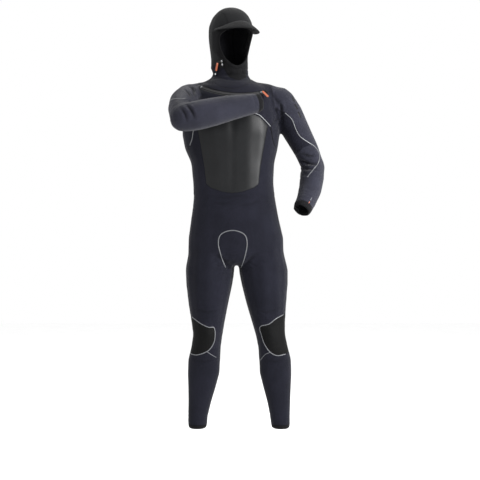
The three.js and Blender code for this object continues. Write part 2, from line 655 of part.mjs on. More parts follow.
const hoodLayer = tubeSolid(hood, LINING_TOP, 0).subtract(tubeSolid(hood, LINING_BASE, 0));
const liningOpening = fromHead(grown(faceOutline, FACE_SEAL_WIDTH + 4), 0, 200);
piece('hood_lining', hoodLayer.subtract(liningOpening)
  .intersect(beyond(new THREE.Vector3(-22, 0, 1680), collarUp)), lining);

// ---------------------------------------------------------------- hood drawcord, at the wearer's right jaw
// A round piece turned about the line from `from` to `to`; the profile is [radius, distance along].
function turnedPart(profile, from, to) {
  const geometry = new THREE.LatheGeometry(flat(profile), 12);
  geometry.applyQuaternion(new THREE.Quaternion().setFromUnitVectors(Y, to.clone().sub(from).normalize()));
  geometry.translate(from.x, from.y, from.z);
  return toSolid(geometry);
}
const lifted = (place, height) => {
  const { point, normal } = onFront(place);
  return point.clone().addScaledVector(normal, height);
};
const cordHole = onFront(UPPER_EYELET);
const toggleTop = lifted(TOGGLE_TOP, TOGGLE_LIFT);
const toggleFoot = lifted(TOGGLE_FOOT, TOGGLE_LIFT);
const toggleRun = toggleFoot.clone().sub(toggleTop).normalize();
const toggleLength = toggleTop.distanceTo(toggleFoot);
const EYELET = [[1.7, 0.3], [4, 0.3], [4, 1.2], [2.6, 1.8], [1.7, 1.2], [1.7, 0.3]];
const eyelets = { upper: UPPER_EYELET, lower: LOWER_EYELET };
for (const [name, place] of Object.entries(eyelets)) {
  const { point, normal } = onFront(place);
  piece(`${name}_cord_eyelet`, turnedPart(EYELET, point, point.clone().add(normal)), metal);
}
const toggleBore = CORD_RADIUS + 0.4;
piece('drawcord_toggle', turnedPart([
  [toggleBore, 0], [3, 0], [4, 2], [4, toggleLength - 2], [3, toggleLength], [toggleBore, toggleLength],
  [toggleBore, 0],
], toggleTop, toggleFoot), orange);
const cordEnd = toggleFoot.clone().addScaledVector(toggleRun, CORD_TAIL);
const cordStart = cordHole.point.clone().addScaledVector(cordHole.normal, 2.4);
const cordPath = new THREE.CatmullRomCurve3([
  cordStart, cordStart.clone().addScaledVector(cordHole.normal, 3).lerp(toggleTop, 0.25),
  toggleTop.clone().addScaledVector(toggleRun, -3), toggleTop.clone().addScaledVector(toggleRun, 4), cordEnd,
]);
piece('drawcord', toSolid(new THREE.ExtrudeGeometry(new THREE.Shape(circle(ORIGIN, CORD_RADIUS, 8)), {
  steps: 16, bevelEnabled: false, extrudePath: cordPath,
})), cordBlack);
piece('cord_end_bead', turnedPart([[0, 0], [2.4, 0], [3.2, 1.6], [3.2, 4], [2, 6], [0, 6]],
  cordEnd.clone().addScaledVector(toggleRun, GAP), cordEnd.clone().addScaledVector(toggleRun, 5)), metal);

// ---------------------------------------------------------------- torso panels
// Chest seam from the middle of the chest to the junction under the arm, then up to the armpit.
const CHEST_SEAM = [[MIDDLE, 1464], [30, 1456], [77, 1434], [96, 1427], [118, 1408], [142, 1384]];
const armpit = [[158, 1406], [191, 1436], [260, 1470]];
const chestLine = [...smooth(mirrored(CHEST_SEAM), 8), ...smooth(CHEST_SEAM, 8).slice(1)];
const zipLine = [0, 0.25, 0.5, 0.75, 1].map((part) => {
  const { x, z } = zipPoint(part * zip.sweep, 0, 0);
  return [x, z];
});
const aboveZip = [
  ...flat([[-300, 1560]]), ...smooth(zipLine, 12), ...flat([[300, 1560], [300, 1800], [-300, 1800]]),
];
const yoke = cutOut(shell, (margin) => fromFront(grown(aboveZip, margin)));
piece('shoulder_yoke', yoke.inside, jersey);
shell = yoke.outside;

const upperChest = [
  ...flat(mirrored(armpit)), ...chestLine, ...flat(armpit), ...flat([[300, 1700], [-300, 1700]]),
];
const chest = cutOut(shell, (margin) => fromFront(grown(upperChest, margin), -SIDE_SEAM_Y - margin, FAR));
piece('upper_chest_panel', chest.inside, jersey);
shell = chest.outside;

const SMOOTHSKIN_HALF = [
  [MIDDLE, 1112], [25, 1117], [74, 1134], [92, 1150], [99, 1215], [111, 1285], [123, 1355],
  [129, 1384], [117, 1398], [94, 1419], [71, 1429], [30, 1442], [MIDDLE, 1448],
];
function smoothskinOutline() {
  const corners = flat(SMOOTHSKIN_HALF);
  const other = flat(mirrored(SMOOTHSKIN_HALF)).slice(1, -1);
  return [...corners, ...other];
}
const smoothRegion = (margin) => fromFront(grown(smoothskinOutline(), margin), 0, FAR);
const smoothCut = cutOut(shell, smoothRegion);
piece('chest_smoothskin_panel', smoothCut.inside, smoothskin);
shell = smoothCut.outside;

// Side panels: from the junction under the arm, narrowing to the waist.
const SIDE_SEAM = [[142, 1384], [146, 1360], [150, 1335], [160, 1308], [182, 1270], [220, 1230]];
const leftSide = [
  ...smooth(SIDE_SEAM, 10), ...flat([[300, 1230], [300, 1560], [200, 1442], [191, 1436], [158, 1406]]),
];
const rightSide = leftSide.map((p) => new THREE.Vector2(2 * MIDDLE - p.x, p.y)).reverse();
const sidePanels = { left: leftSide, right: rightSide };
for (const side of ['left', 'right']) {
  const cut = cutOut(shell, (margin) => fromFront(grown(sidePanels[side], margin), -70 - margin, FAR));
  piece(`${side}_side_panel`, cut.inside, jersey);
  shell = cut.outside;
}

const CROTCH_SEAM = [
  [22, 806], [36, 850], [46, 905], [34, 944], [MIDDLE, 960], [-60, 944], [-71, 905], [-58, 850], [-42, 806],
];
const crotchOutline = smooth(CROTCH_SEAM, 16);
const crotch = cutOut(shell, (margin) => fromFront(grown(crotchOutline, margin), -60 - margin, FAR));
piece('crotch_gusset', crotch.inside, jersey);
shell = crotch.outside;

const BACK_PANEL = [
  [96, 1120], [96, 1400], [60, 1470], [-88, 1470], [-124, 1400], [-124, 1120], [-70, 1085], [42, 1085],
];
const backOutline = flat(BACK_PANEL);
const backCut = cutOut(shell, (margin) => fromFront(grown(backOutline, margin), -FAR, -20));
piece('back_smoothskin_panel', backCut.inside, smoothskin);
shell = backCut.outside;

// ---------------------------------------------------------------- legs below the knee, and the knees
const KNEE_PADS = {
  right: [
    [-230, 622], [-180, 604], [-143, 579], [-112, 565], [-88, 561],
    [-86, 518], [-97, 487], [-119, 464], [-160, 449], [-230, 455],
  ],
  left: [
    [99, 565], [135, 578], [165, 600], [230, 628], [235, 466],
    [205, 452], [170, 447], [141, 461], [118, 493], [106, 528],
  ],
};
const SHIN_SPLIT = 8;           // y of the seam between the knee pad and the back of the knee
const halfSpaces = {
  right: (margin) => beyond(new THREE.Vector3(5, 0, 0), new THREE.Vector3(-1, 0, 0), margin),
  left: (margin) => beyond(new THREE.Vector3(5, 0, 0), new THREE.Vector3(1, 0, 0), margin),
};
const DOWN = new THREE.Vector3(0, 0, -1);
const below = (height, margin) => beyond(new THREE.Vector3(0, 0, height), DOWN, margin);
const shinCentres = { right: new THREE.Vector3(-145, 12, 0), left: new THREE.Vector3(172, 12, 0) };
for (const side of ['right', 'left']) {
  const legOnly = (height) => (margin) => below(height, margin).intersect(halfSpaces[side](margin));
  const leg = cutOut(shell, legOnly(KNEE_TOP));
  shell = leg.outside;
  const shin = cutOut(leg.inside, legOnly(KNEE_BOTTOM));
  const hem = cutOut(shin.inside, legOnly(LEG[LEG.length - 1][0] + HEM_HEIGHT));
  piece(`${side}_ankle_hem`, hem.inside, blackJersey);
  const calf = cutOut(hem.outside, (margin) => beyond(shinCentres[side], Y, margin));
  piece(`${side}_calf_panel`, calf.inside, jersey);
  piece(`${side}_shin_panel`, calf.outside, jersey);
  const padOutline = flat(KNEE_PADS[side]);
  const pad = cutOut(shin.outside, (margin) => (
    fromFront(grown(padOutline, margin), -SHIN_SPLIT - margin, FAR)));
  piece(`${side}_knee_pad`, pad.inside, kneeFabric);
  piece(`${side}_knee_back`, mainLumps(pad.outside), jersey);
}

const frontCut = cutOut(shell, (margin) => beyond(new THREE.Vector3(0, SIDE_SEAM_Y, 0), FRONT, margin));
piece('front_body_panel', mainLumps(frontCut.inside), jersey);
piece('back_body_panel', mainLumps(frontCut.outside), jersey);

const torsoLayer = tubeSolid(torsoTube, LINING_TOP, 0).subtract(tubeSolid(torsoTube, LINING_BASE, 0));
const LINING_TOP_HEIGHT = 1420;
const LINING_BOTTOM_HEIGHT = 1000;
const armTunnels = joined([...armTubes.right, ...armTubes.left].map((tube) => tubeSolid(tube, 1, 0)));
piece('torso_lining', torsoLayer.subtract(armTunnels)
  .intersect(below(LINING_TOP_HEIGHT, 0)).subtract(below(LINING_BOTTOM_HEIGHT, 0)), lining);

// ---------------------------------------------------------------- seam tapes, laid on the outside
function tape(name, lines, near = 0, far = FAR) {
  const strokes = lines.map((line) => tapeLayer.intersect(fromFront(band(line, TAPE_WIDTH), near, far)));
  piece(name, joined(strokes), seamTape);
}
const TORSO_DEPTH = 150;        // nothing of the torso reaches further forwards; the folded arm does
const TAPE_STEPS = 14;
const sideTape = [[139, 1380], ...SIDE_SEAM.slice(1, 4)];
const leftKneeSeam = [...KNEE_PADS.left.slice(5), ...KNEE_PADS.left.slice(0, 3), [195, 614]];
const RIGHT_SLEEVE_SEAM = [[-286, 1470], [-262, 1481], [-240, 1482], [-216, 1479], [-196, 1482]];
tape('chest_tape', [chestLine.slice(1, -1)], 20, TORSO_DEPTH);
tape('left_side_tape', [smooth(sideTape, 10)], 0, TORSO_DEPTH);
tape('right_side_tape', [smooth(mirrored(sideTape), 10)], 0, TORSO_DEPTH);
tape('crotch_tape', [crotchOutline], -60, TORSO_DEPTH);
tape('right_knee_tape', [smooth(KNEE_PADS.right.slice(1), TAPE_STEPS)], 10, TORSO_DEPTH);
tape('left_knee_tape', [smooth(leftKneeSeam, TAPE_STEPS)], 10, TORSO_DEPTH);
tape('left_sleeve_tape', [smooth(LEFT_ARM_SEAM.slice(0, 11), TAPE_STEPS)], -45, TORSO_DEPTH);
tape('right_sleeve_tape', [smooth(RIGHT_SLEEVE_SEAM, 8)], 150, FAR);

export default wetsuit;
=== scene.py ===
"""A hooded full wetsuit as it looks when worn: neoprene panels, taped seams, a chest zip and a brimmed hood.

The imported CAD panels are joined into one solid, remeshed and smoothed into a skin, shaped with muscle and
folds, and cut back into panels along the CAD panels' own edges. Lengths are metres, in the CAD model's frame.
"""
import json
import math

import bmesh
import bpy
import numpy as np
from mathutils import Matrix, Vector, noise
from mathutils.bvhtree import BVHTree


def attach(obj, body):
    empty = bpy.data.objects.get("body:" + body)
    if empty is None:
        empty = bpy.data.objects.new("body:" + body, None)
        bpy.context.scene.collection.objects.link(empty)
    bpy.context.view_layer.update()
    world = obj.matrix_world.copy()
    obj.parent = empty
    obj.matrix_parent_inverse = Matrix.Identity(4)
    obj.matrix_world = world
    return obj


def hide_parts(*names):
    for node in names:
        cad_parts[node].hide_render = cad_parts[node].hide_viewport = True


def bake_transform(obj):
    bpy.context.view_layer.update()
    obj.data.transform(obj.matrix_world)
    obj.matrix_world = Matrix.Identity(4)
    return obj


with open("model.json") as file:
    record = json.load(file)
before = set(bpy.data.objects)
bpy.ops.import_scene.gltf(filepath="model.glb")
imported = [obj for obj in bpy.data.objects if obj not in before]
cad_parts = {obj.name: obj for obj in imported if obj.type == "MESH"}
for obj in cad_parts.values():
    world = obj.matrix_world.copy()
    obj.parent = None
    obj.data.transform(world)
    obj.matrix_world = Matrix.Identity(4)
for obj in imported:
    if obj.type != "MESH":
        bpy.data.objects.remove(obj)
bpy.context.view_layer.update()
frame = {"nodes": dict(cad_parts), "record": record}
NODES = frame["nodes"]
JOINTS = {j["name"]: j for j in frame["record"]["behaviour"]["joints"]}
MOUNTS = {m["name"]: m for m in frame["record"]["mounts"]}

MM = 0.001
FLOOR = -1.515                 # the floor that the wearer stands on
VOXEL = 5 * MM
REACH = 24 * MM                # a panel further than this from a point isn't measured
NEOPRENE = 4.6 * MM            # thickness of a finished panel
LINING_TOP = 5.3 * MM          # depth of the thermal lining under the skin
LINING_BASE = 6.8 * MM
TAPE_HALF = 1.9 * MM
TAPE_HEIGHT = 1.1 * MM


def floor_mm(x, y, z):
    """A place given in millimetres, with its height above the wearer's floor."""
    return np.array([x * MM, y * MM, z * MM + FLOOR])


def unit(v):
    v = np.asarray(v, float)
    return v / np.linalg.norm(v)


# -------------------------------------------------- camera
CAMERA_DISTANCE = 4.8
PICTURE_WIDTH = 1.992          # what the picture spans at the wearer's middle plane
SENSOR = 36
camera_data = bpy.data.cameras.new("camera")
camera_data.sensor_width = SENSOR
camera_data.lens = SENSOR * CAMERA_DISTANCE / PICTURE_WIDTH
camera = bpy.data.objects.new("camera", camera_data)
camera.location = (0.017, -CAMERA_DISTANCE, -0.594)
camera.rotation_euler = (math.radians(90), 0, 0)
bpy.context.scene.collection.objects.link(camera)
bpy.context.scene.camera = camera


# -------------------------------------------------- meshes as arrays
def vertex_array(mesh):
    co = np.empty(len(mesh.vertices) * 3)
    mesh.vertices.foreach_get("co", co)
    return co.reshape(-1, 3)


def node_arrays(name):
    mesh = NODES[name].data
    return vertex_array(mesh), [list(p.vertices) for p in mesh.polygons]


def new_object(name, co, faces, material=None):
    mesh = bpy.data.meshes.new(name)
    mesh.from_pydata(np.asarray(co).tolist(), [], [list(face) for face in faces])
    mesh.update()
    mesh.shade_smooth()
    obj = bpy.data.objects.new(name, mesh)
    bpy.context.scene.collection.objects.link(obj)
    if material:
        mesh.materials.append(material)
    return obj


def loft(name, rings, material):
    """A closed body through rings of the same number of points, capped at both ends."""
    rings = np.array(rings)
    rows, count = rings.shape[:2]
    faces = []
    for i in range(rows - 1):
        for j in range(count):
            k = (j + 1) % count
            faces.append([i * count + j, i * count + k, (i + 1) * count + k, (i + 1) * count + j])
    faces += [list(range(count))[::-1], [(rows - 1) * count + j for j in range(count)]]
    return new_object(name, rings.reshape(-1, 3), faces, material)


def hull_of(names, shrink):
    """The convex hull of some nodes, shrunk about its centre: a stopper for an opening."""
    points = np.vstack([node_arrays(n)[0] for n in names])
    centre = (points.min(0) + points.max(0)) / 2
    bm = bmesh.new()
    for p in centre + (points - centre) * shrink:
        bm.verts.new(p)
    hull = bmesh.ops.convex_hull(bm, input=bm.verts)
    bmesh.ops.delete(bm, geom=list(set(hull["geom_interior"] + hull["geom_unused"])), context="VERTS")
    bm.verts.index_update()
    co = np.array([v.co[:] for v in bm.verts])
    faces = [[v.index for v in f.verts] for f in bm.faces]
    bm.free()
    return co, faces


# -------------------------------------------------- the skin: one smooth surface over the suit
SIDES = ("left", "right")
ARM_PARTS = ("upper_sleeve", "underarm_panel", "elbow_panel", "forearm_panel")
TORSO_PANELS = [
    "collar_panel", "shoulder_yoke", "upper_chest_panel", "chest_smoothskin_panel", "front_body_panel",
    "back_body_panel", "back_smoothskin_panel", "left_side_panel", "right_side_panel", "crotch_gusset",
]
HOOD_SHELL = ["hood_crown_panel", "hood_right_side_panel", "hood_left_side_panel"]
HOOD_PANELS = HOOD_SHELL + ["face_seal", "chin_gusset"]
LIMB_PANELS = [f"{side}_{part}" for side in SIDES for part in ARM_PARTS + (
    "cuff", "knee_pad", "knee_back", "shin_panel", "calf_panel", "ankle_hem")]
PANELS = HOOD_PANELS + TORSO_PANELS + LIMB_PANELS
ZIP_FILL = ["upper_zip_tape", "lower_zip_tape", "zip_teeth", "zip_garage", "zip_stop", "zip_barrier"]
END_NODES = {"cuff": "cuff", "hem": "ankle_hem"}
OPEN_ENDS = [f"{side}_{part}" for side in SIDES for part in END_NODES.values()]


class Skin:
    """Places, outward normals and triangles of a surface."""

    def __init__(self, co, quads):
        self.co = co
        diagonal = np.linalg.norm(co[quads[:, 0]] - co[quads[:, 2]], axis=1)
        other = np.linalg.norm(co[quads[:, 1]] - co[quads[:, 3]], axis=1)
        near = (diagonal <= other)[:, None]
        first = np.where(near, quads[:, [0, 1, 2]], quads[:, [0, 1, 3]])
        second = np.where(near, quads[:, [0, 2, 3]], quads[:, [1, 2, 3]])
        self.tris = np.vstack([first, second])
        sides = np.vstack([quads[:, [i, (i + 1) % 4]] for i in range(4)])
        self.edges = np.unique(np.sort(sides, axis=1), axis=0)
        self.valence = np.bincount(self.edges.ravel(), minlength=len(co)).astype(float)
        self.measure()

    def mean_of_neighbours(self, values):
        a, b = self.edges[:, 0], self.edges[:, 1]
        flat = values.reshape(len(values), -1)
        total = np.stack([
            np.bincount(a, column[b], len(flat)) + np.bincount(b, column[a], len(flat))
            for column in flat.T], axis=1)
        return (total / self.valence[:, None]).reshape(values.shape)

    def measure(self):
        corners = self.co[self.tris]
        face = np.cross(corners[:, 1] - corners[:, 0], corners[:, 2] - corners[:, 0])
        total = np.zeros_like(self.co)
        for i in range(3):
            for axis in range(3):
                total[:, axis] += np.bincount(self.tris[:, i], face[:, axis], len(self.co))
        self.normal = total / np.maximum(np.linalg.norm(total, axis=1), 1e-12)[:, None]

    def iron(self, rounds, refill):
        """Smooths facets away, then gives back the girth that this costs."""
        before = self.co.copy()
        for _ in range(rounds):
            self.co += 0.5 * (self.mean_of_neighbours(self.co) - self.co)
        self.measure()
        lost = np.einsum("ij,ij->i", before - self.co, self.normal)
        for _ in range(rounds + refill):
            lost += 0.5 * (self.mean_of_neighbours(lost) - lost)
        self.push(lost)

    def push(self, height):
        self.co += self.normal * height[:, None]
        self.measure()


def largest_part(co, quads):
    """The largest connected surface: the walls left inside the solid are dropped."""
    label = np.arange(len(co))
    while True:
        lowest = label[quads].min(axis=1)
        before = label.copy()
        for i in range(4):
            np.minimum.at(label, quads[:, i], lowest)
        label = label[label]
        if (label == before).all():
            break
    kinds, counts = np.unique(label, return_counts=True)
    keep = label == kinds[np.argmax(counts)]
    index = np.cumsum(keep) - 1
    return co[keep], index[quads[keep[quads[:, 0]]]]


def build_skin():
    parts = [node_arrays(n) for n in PANELS + ZIP_FILL]
    parts.append(hull_of(["face_seal", "hood_crown_panel"], 0.99))
    parts += [hull_of([n], 0.94) for n in OPEN_ENDS]
    co, faces, offset = [], [], 0
    for points, polygons in parts:
        co.append(points)
        faces += [[i + offset for i in p] for p in polygons]
        offset += len(points)
    mesh = bpy.data.meshes.new("solid")
    mesh.from_pydata(np.vstack(co).tolist(), [], faces)
    solid = bpy.data.objects.new("solid", mesh)
    bpy.context.scene.collection.objects.link(solid)
    remesh = solid.modifiers.new("remesh", "REMESH")
    remesh.mode = "VOXEL"
    remesh.voxel_size = VOXEL
    skinned = bpy.data.meshes.new_from_object(solid.evaluated_get(bpy.context.evaluated_depsgraph_get()))
    co = vertex_array(skinned)
    quads = np.array([list(p.vertices) for p in skinned.polygons])
    bpy.data.objects.remove(solid)
    bpy.data.meshes.remove(mesh)
    bpy.data.meshes.remove(skinned)
    return Skin(*largest_part(co, quads))


skin = build_skin()
skin.iron(rounds=26, refill=10)


# -------------------------------------------------- the zip's track, an arc across the chest
ZIP_TILT = 1.0424              # how far the chest leans back under the zip, radians
ZIP_RADIUS = 0.18107
ZIP_SWEEP = 1.5489
ZIP_FROM = np.array([-0.752208, -0.598279, -0.276127])
SLOT_HALF = 9.6 * MM
zip_centre = np.array(JOINTS["zip_slide"]["pos_m"])
zip_axis = unit(JOINTS["zip_slide"]["axis"])
zip_side = np.cross(zip_axis, ZIP_FROM)


def zip_coordinates(co):
    """How far along the track, up the chest and out from it each point is."""
    rel = co - zip_centre
    along = np.arctan2(rel @ zip_side, rel @ ZIP_FROM)
    radial = np.cos(along)[:, None] * ZIP_FROM + np.sin(along)[:, None] * zip_side
    outwards = np.einsum("ij,ij->i", rel, radial) - ZIP_RADIUS
    height = rel @ zip_axis
    up = height * math.cos(ZIP_TILT) - outwards * math.sin(ZIP_TILT)
    out = height * math.sin(ZIP_TILT) + outwards * math.cos(ZIP_TILT)
    return along * ZIP_RADIUS, up, out


def zip_point(along, up, out):
    angle = along / ZIP_RADIUS
    radial = math.cos(angle) * ZIP_FROM + math.sin(angle) * zip_side
    outward = radial * math.cos(ZIP_TILT) + zip_axis * math.sin(ZIP_TILT)
    upward = zip_axis * math.cos(ZIP_TILT) - radial * math.sin(ZIP_TILT)
    return zip_centre + radial * ZIP_RADIUS + upward * up + outward * out


ZIP_LENGTH = ZIP_SWEEP * ZIP_RADIUS
GARAGE_LENGTH = 20 * MM


def zip_slot_distance(co):
    """Negative inside the slot of the zip, in metres from its edge."""
    along, up, out = zip_coordinates(co)
    middle = (ZIP_LENGTH + GARAGE_LENGTH - 6 * MM) / 2
    half_length = (ZIP_LENGTH + GARAGE_LENGTH + 6 * MM) / 2
    sides = np.maximum(np.abs(up) - SLOT_HALF, np.abs(along - middle) - half_length)
    return np.maximum(sides, np.abs(out) - 30 * MM)


# -------------------------------------------------- muscles and folds
def blob(centre, radii, height):
    reach = (skin.co - centre) / (np.asarray(radii) * MM)
    return height * MM * np.exp(-np.einsum("ij,ij->i", reach, reach))


def fade(values, start, end):
    t = np.clip((values - start) / (end - start), 0, 1)
    return t * t * (3 - 2 * t)


MUSCLES = [
    # centre (mm from the floor), radii (mm), height (mm)
    ((62, -120, 1395), (62, 60, 52), 7), ((-92, -120, 1395), (62, 60, 52), 7),          # chest
    ((-14, -130, 1380), (16, 60, 70), -4.5),                                            # between the two
    ((-14, -112, 1200), (14, 50, 95), -2.5),                                            # middle of the belly
    ((52, -105, 1215), (40, 40, 80), 2.5), ((-72, -105, 1215), (40, 40, 80), 2.5),
    ((60, 125, 1400), (70, 60, 75), 6), ((-100, 125, 1400), (70, 60, 75), 6),           # shoulder blades
    ((-16, 125, 1300), (18, 60, 190), -6),                                              # spine
    ((88, 120, 905), (70, 70, 62), 9), ((-92, 120, 905), (70, 70, 62), 9),              # seat
    ((-2, 130, 900), (15, 70, 70), -7),
    ((-118, -85, 740), (45, 50, 120), 5), ((124, -85, 740), (45, 50, 120), 5),          # thighs
    ((-88, -70, 640), (26, 40, 40), 4), ((108, -70, 640), (26, 40, 40), 4),
    ((-114, -72, 528), (30, 30, 34), 5), ((142, -72, 528), (30, 30, 34), 5),            # kneecaps
    ((-136, 68, 385), (40, 50, 80), 6), ((166, 68, 385), (40, 50, 80), 6),              # calves
    ((-188, 20, 395), (26, 40, 70), 3), ((216, 20, 395), (26, 40, 70), 3),
    ((236, -8, 1440), (45, 70, 60), 4), ((250, -30, 1350), (34, 40, 60), 4),            # left upper arm
    ((-232, -80, 1490), (50, 60, 50), 4),                                               # right shoulder
    ((330, -20, 1160), (34, 40, 60), 3), ((-120, -320, 1420), (60, 40, 45), 4),         # forearms
]

WRINKLES = [
    # centre, axis that the folds cross, radii of the patch, wavelength (mm), height (mm), seed
    ((-168, -228, 1418), (0.9, -0.2, 0.2), (58, 52, 60), 15, 4.6, 1),      # crook of the right elbow
    ((-240, -250, 1405), (0.3, -0.9, -0.3), (60, 60, 70), 21, 1.8, 2),     # outside of the right elbow
    ((-150, -40, 1500), (0.9, 0.2, 0.1), (48, 80, 60), 19, 4.6, 3),        # right shoulder and armpit
    ((298, 6, 1222), (-0.1, -0.2, 1), (46, 60, 58), 15, 4.2, 4),           # crook of the left elbow
    ((166, 0, 1440), (0.8, 0, -0.5), (52, 80, 60), 18, 4.2, 5),            # left armpit
    ((-120, -60, 1085), (0.1, 0, 1), (110, 110, 55), 17, 1.5, 6),          # waist
    ((110, -60, 1085), (-0.1, 0, 1), (90, 110, 50), 17, 1.3, 7),
    ((0, 100, 1090), (0, 0, 1), (150, 70, 60), 22, 3.2, 8),                # small of the back
    ((-60, -70, 828), (-0.5, 0, 1), (60, 70, 45), 15, 2.4, 9),             # groin
    ((62, -70, 828), (0.5, 0, 1), (60, 70, 45), 15, 2.4, 10),
    ((-116, 55, 520), (0, 0, 1), (80, 60, 60), 16, 4.2, 11),               # backs of the knees
    ((143, 55, 520), (0, 0, 1), (80, 60, 60), 16, 4.2, 12),
    ((-112, -40, 600), (0.2, 0, 1), (80, 70, 26), 14, 1.4, 13),            # over the knee pads
    ((136, -40, 600), (-0.2, 0, 1), (80, 70, 26), 14, 1.4, 14),
    ((-158, 15, 185), (0, 0, 1), (60, 60, 42), 15, 1.7, 15),               # ankles
    ((183, 15, 185), (0, 0, 1), (60, 60, 42), 15, 1.7, 16),
    ((-24, 0, 1610), (0, 0.1, 1), (120, 120, 40), 19, 3.4, 17),            # neck
    ((-5, 110, 860), (0, 0.3, 1), (150, 60, 30), 18, 2.4, 18),             # under the seat
    ((290, -60, 1085), (-0.3, -0.5, -0.8), (50, 60, 55), 15, 1.6, 19),     # left wrist
    ((60, -200, 1460), (0.9, 0.3, 0.2), (60, 50, 40), 16, 1.6, 20),        # right wrist
]
CROSS_STRETCH = 4.2            # folds are this much longer than they are wide
FOLD_GAIN = 1.5
CREASES = [
    # line [x, z] (mm from the floor), seen from y, width (mm), depth (mm)
    ([(-194, 1558), (-178, 1546), (-170, 1530), (-166, 1501)], -400, 7, 8),                # right armhole
    ([(-206, 1528), (-190, 1512), (-178, 1488)], -400, 7, 5),
    ([(268, 1252), (290, 1240), (318, 1236), (336, 1242)], -250, 7, 6),                    # left elbow
    ([(272, 1226), (296, 1216), (326, 1214)], -250, 6, 5),
    ([(276, 1276), (300, 1268), (330, 1272)], -250, 6, 4),
    ([(-190, 1446), (-170, 1420), (-160, 1394)], -500, 6, 6),                              # right elbow
    ([(-214, 1436), (-196, 1408), (-190, 1380)], -500, 6, 4.5),
    ([(170, 1500), (184, 1462), (186, 1420)], -250, 7, 6),                                 # left armpit
    ([(150, 1520), (166, 1484), (168, 1446)], -250, 6, 3.5),
    ([(-104, 1076), (-60, 1068), (-20, 1072)], -250, 6, 2.2),                              # waist
    ([(-98, 1100), (-50, 1094), (10, 1100), (60, 1094)], -250, 6, 2),
    ([(20, 1062), (62, 1068), (92, 1080)], -250, 6, 2),
    ([(-80, 860), (-52, 838), (-30, 812)], -250, 7, 3.2),                                  # groin
    ([(84, 862), (56, 840), (30, 812)], -250, 7, 3.2),
    ([(-86, 1618), (-52, 1604), (-10, 1600), (30, 1608)], -400, 6, 4),                     # neck
    # inner forearm: a wide shallow crease whose valley gives a dark strip of painted shade
    ([(266, 1220), (262, 1170), (254, 1110), (244, 1056)], -250, 13, 1.8),                 # inner forearm
    ([(-168, 640), (-120, 626), (-70, 634)], -250, 6, 2),                                  # over the knees
    ([(170, 640), (130, 626), (88, 634)], -250, 6, 2),
    ([(-172, 430), (-140, 420), (-104, 428)], -250, 6, 2),
    ([(190, 430), (160, 420), (124, 428)], -250, 6, 2),
]


def wrinkles(centre, axis, radii, wavelength, height, seed):
    """Sharp-bottomed folds that run round the limb, fading out from the centre."""
    axis = unit(axis)
    rel = skin.co - floor_mm(*centre)
    mask = np.exp(-np.einsum("ij,ij->i", rel / (np.array(radii) * MM), rel / (np.array(radii) * MM)) ** 1.5)
    push = np.zeros(len(skin.co))
    for i in np.flatnonzero(mask > 0.02):
        along = rel[i] @ axis
        across = (rel[i] - along * axis) / CROSS_STRETCH
        p = Vector((axis * along + across) / (wavelength * MM)) + Vector((seed * 7.3, seed * 3.1, 0))
        ridge = 1 - 2.2 * abs(noise.noise(p))
        swell = noise.noise(p * 0.45 + Vector((0, 0, 9)))
        push[i] = -FOLD_GAIN * height * MM * mask[i] * (max(ridge, 0) ** 3 * 0.8 - 0.25 - 0.5 * swell)
    return push


def smooth_open(points, step=4.0):
    """A Catmull-Rom curve through the points, with even steps in millimetres."""
    points = np.array(points, float)
    ends = np.vstack([2 * points[0] - points[1], points, 2 * points[-1] - points[-2]])
    out = []
    for i in range(1, len(ends) - 2):
        a, b, c, d = ends[i - 1:i + 3]
        for t in np.arange(12) / 12:
            out.append(0.5 * (2 * b + (c - a) * t + (2 * a - 5 * b + 4 * c - d) * t * t
                              + (3 * b - a - 3 * c + d) * t ** 3))
    out = np.array(out + [points[-1]])
    run = np.concatenate([[0], np.cumsum(np.linalg.norm(np.diff(out, axis=0), axis=1))])
    even = np.linspace(0, run[-1], max(3, int(run[-1] / step)))
    return np.stack([np.interp(even, run, out[:, k]) for k in range(out.shape[1])], axis=1)


def creases():
    """Single valleys with a soft lip on each side, along lines carried back onto the skin."""
    tree = BVHTree.FromPolygons(skin.co.tolist(), skin.tris.tolist())
    push = np.zeros(len(skin.co))
    for line, from_y, width, depth in CREASES:
        hits = [tree.ray_cast(floor_mm(x, from_y, z), (0, 1, 0))[0] for x, z in smooth_open(line)]
        path = np.array([tuple(hit) for hit in hits if hit is not None])
        if len(path) < 3:
            continue
        reach = 4 * width * MM
        near = np.flatnonzero(((skin.co > path.min(0) - reach) & (skin.co < path.max(0) + reach)).all(axis=1))
        gaps = np.linalg.norm(skin.co[near][:, None] - path[None], axis=2)
        away = gaps.min(axis=1) / (width * MM)
        nearest = gaps.argmin(axis=1) / (len(path) - 1)
        taper = np.clip(np.sin(np.pi * np.clip(nearest, 0.04, 0.96)), 0, 1) ** 0.6
        push[near] += depth * MM * taper * (0.4 * np.exp(-(away - 1.9) ** 2) - np.exp(-away ** 2))
    return push


near_zip = fade(zip_slot_distance(skin.co), 10 * MM, 34 * MM)
jaw = floor_mm(-72, -60, 1632)
near_jaw = fade(np.linalg.norm(skin.co - jaw, axis=1), 28 * MM, 50 * MM)
pull_rest = zip_point(6 * MM, -12 * MM, 6 * MM)     # where the pull hangs when the zip is open
near_pull = fade(np.linalg.norm(skin.co - pull_rest, axis=1), 36 * MM, 60 * MM)
calm = near_zip * near_jaw * near_pull
shape = sum(blob(floor_mm(*c), r, h) for c, r, h in MUSCLES)
skin.push(shape * calm)
folds = sum(wrinkles(*w) for w in WRINKLES) * calm
lines = creases() * near_jaw * fade(zip_slot_distance(skin.co), 5 * MM, 16 * MM)
PULL_ROOM = 4.5 * MM
room = PULL_ROOM * (1 - near_pull) * near_zip
skin.push(folds + lines - room)
FOLD_DEPTH = 4 * MM            # a fold this deep gets the darkest painted shade
# painted shade: the valleys of the wrinkles and creases are darkened in the colour, standing in for the shade
# that falls in them
painted_fold_shade = np.clip(-(0.6 * folds + lines) / FOLD_DEPTH, 0, 1)


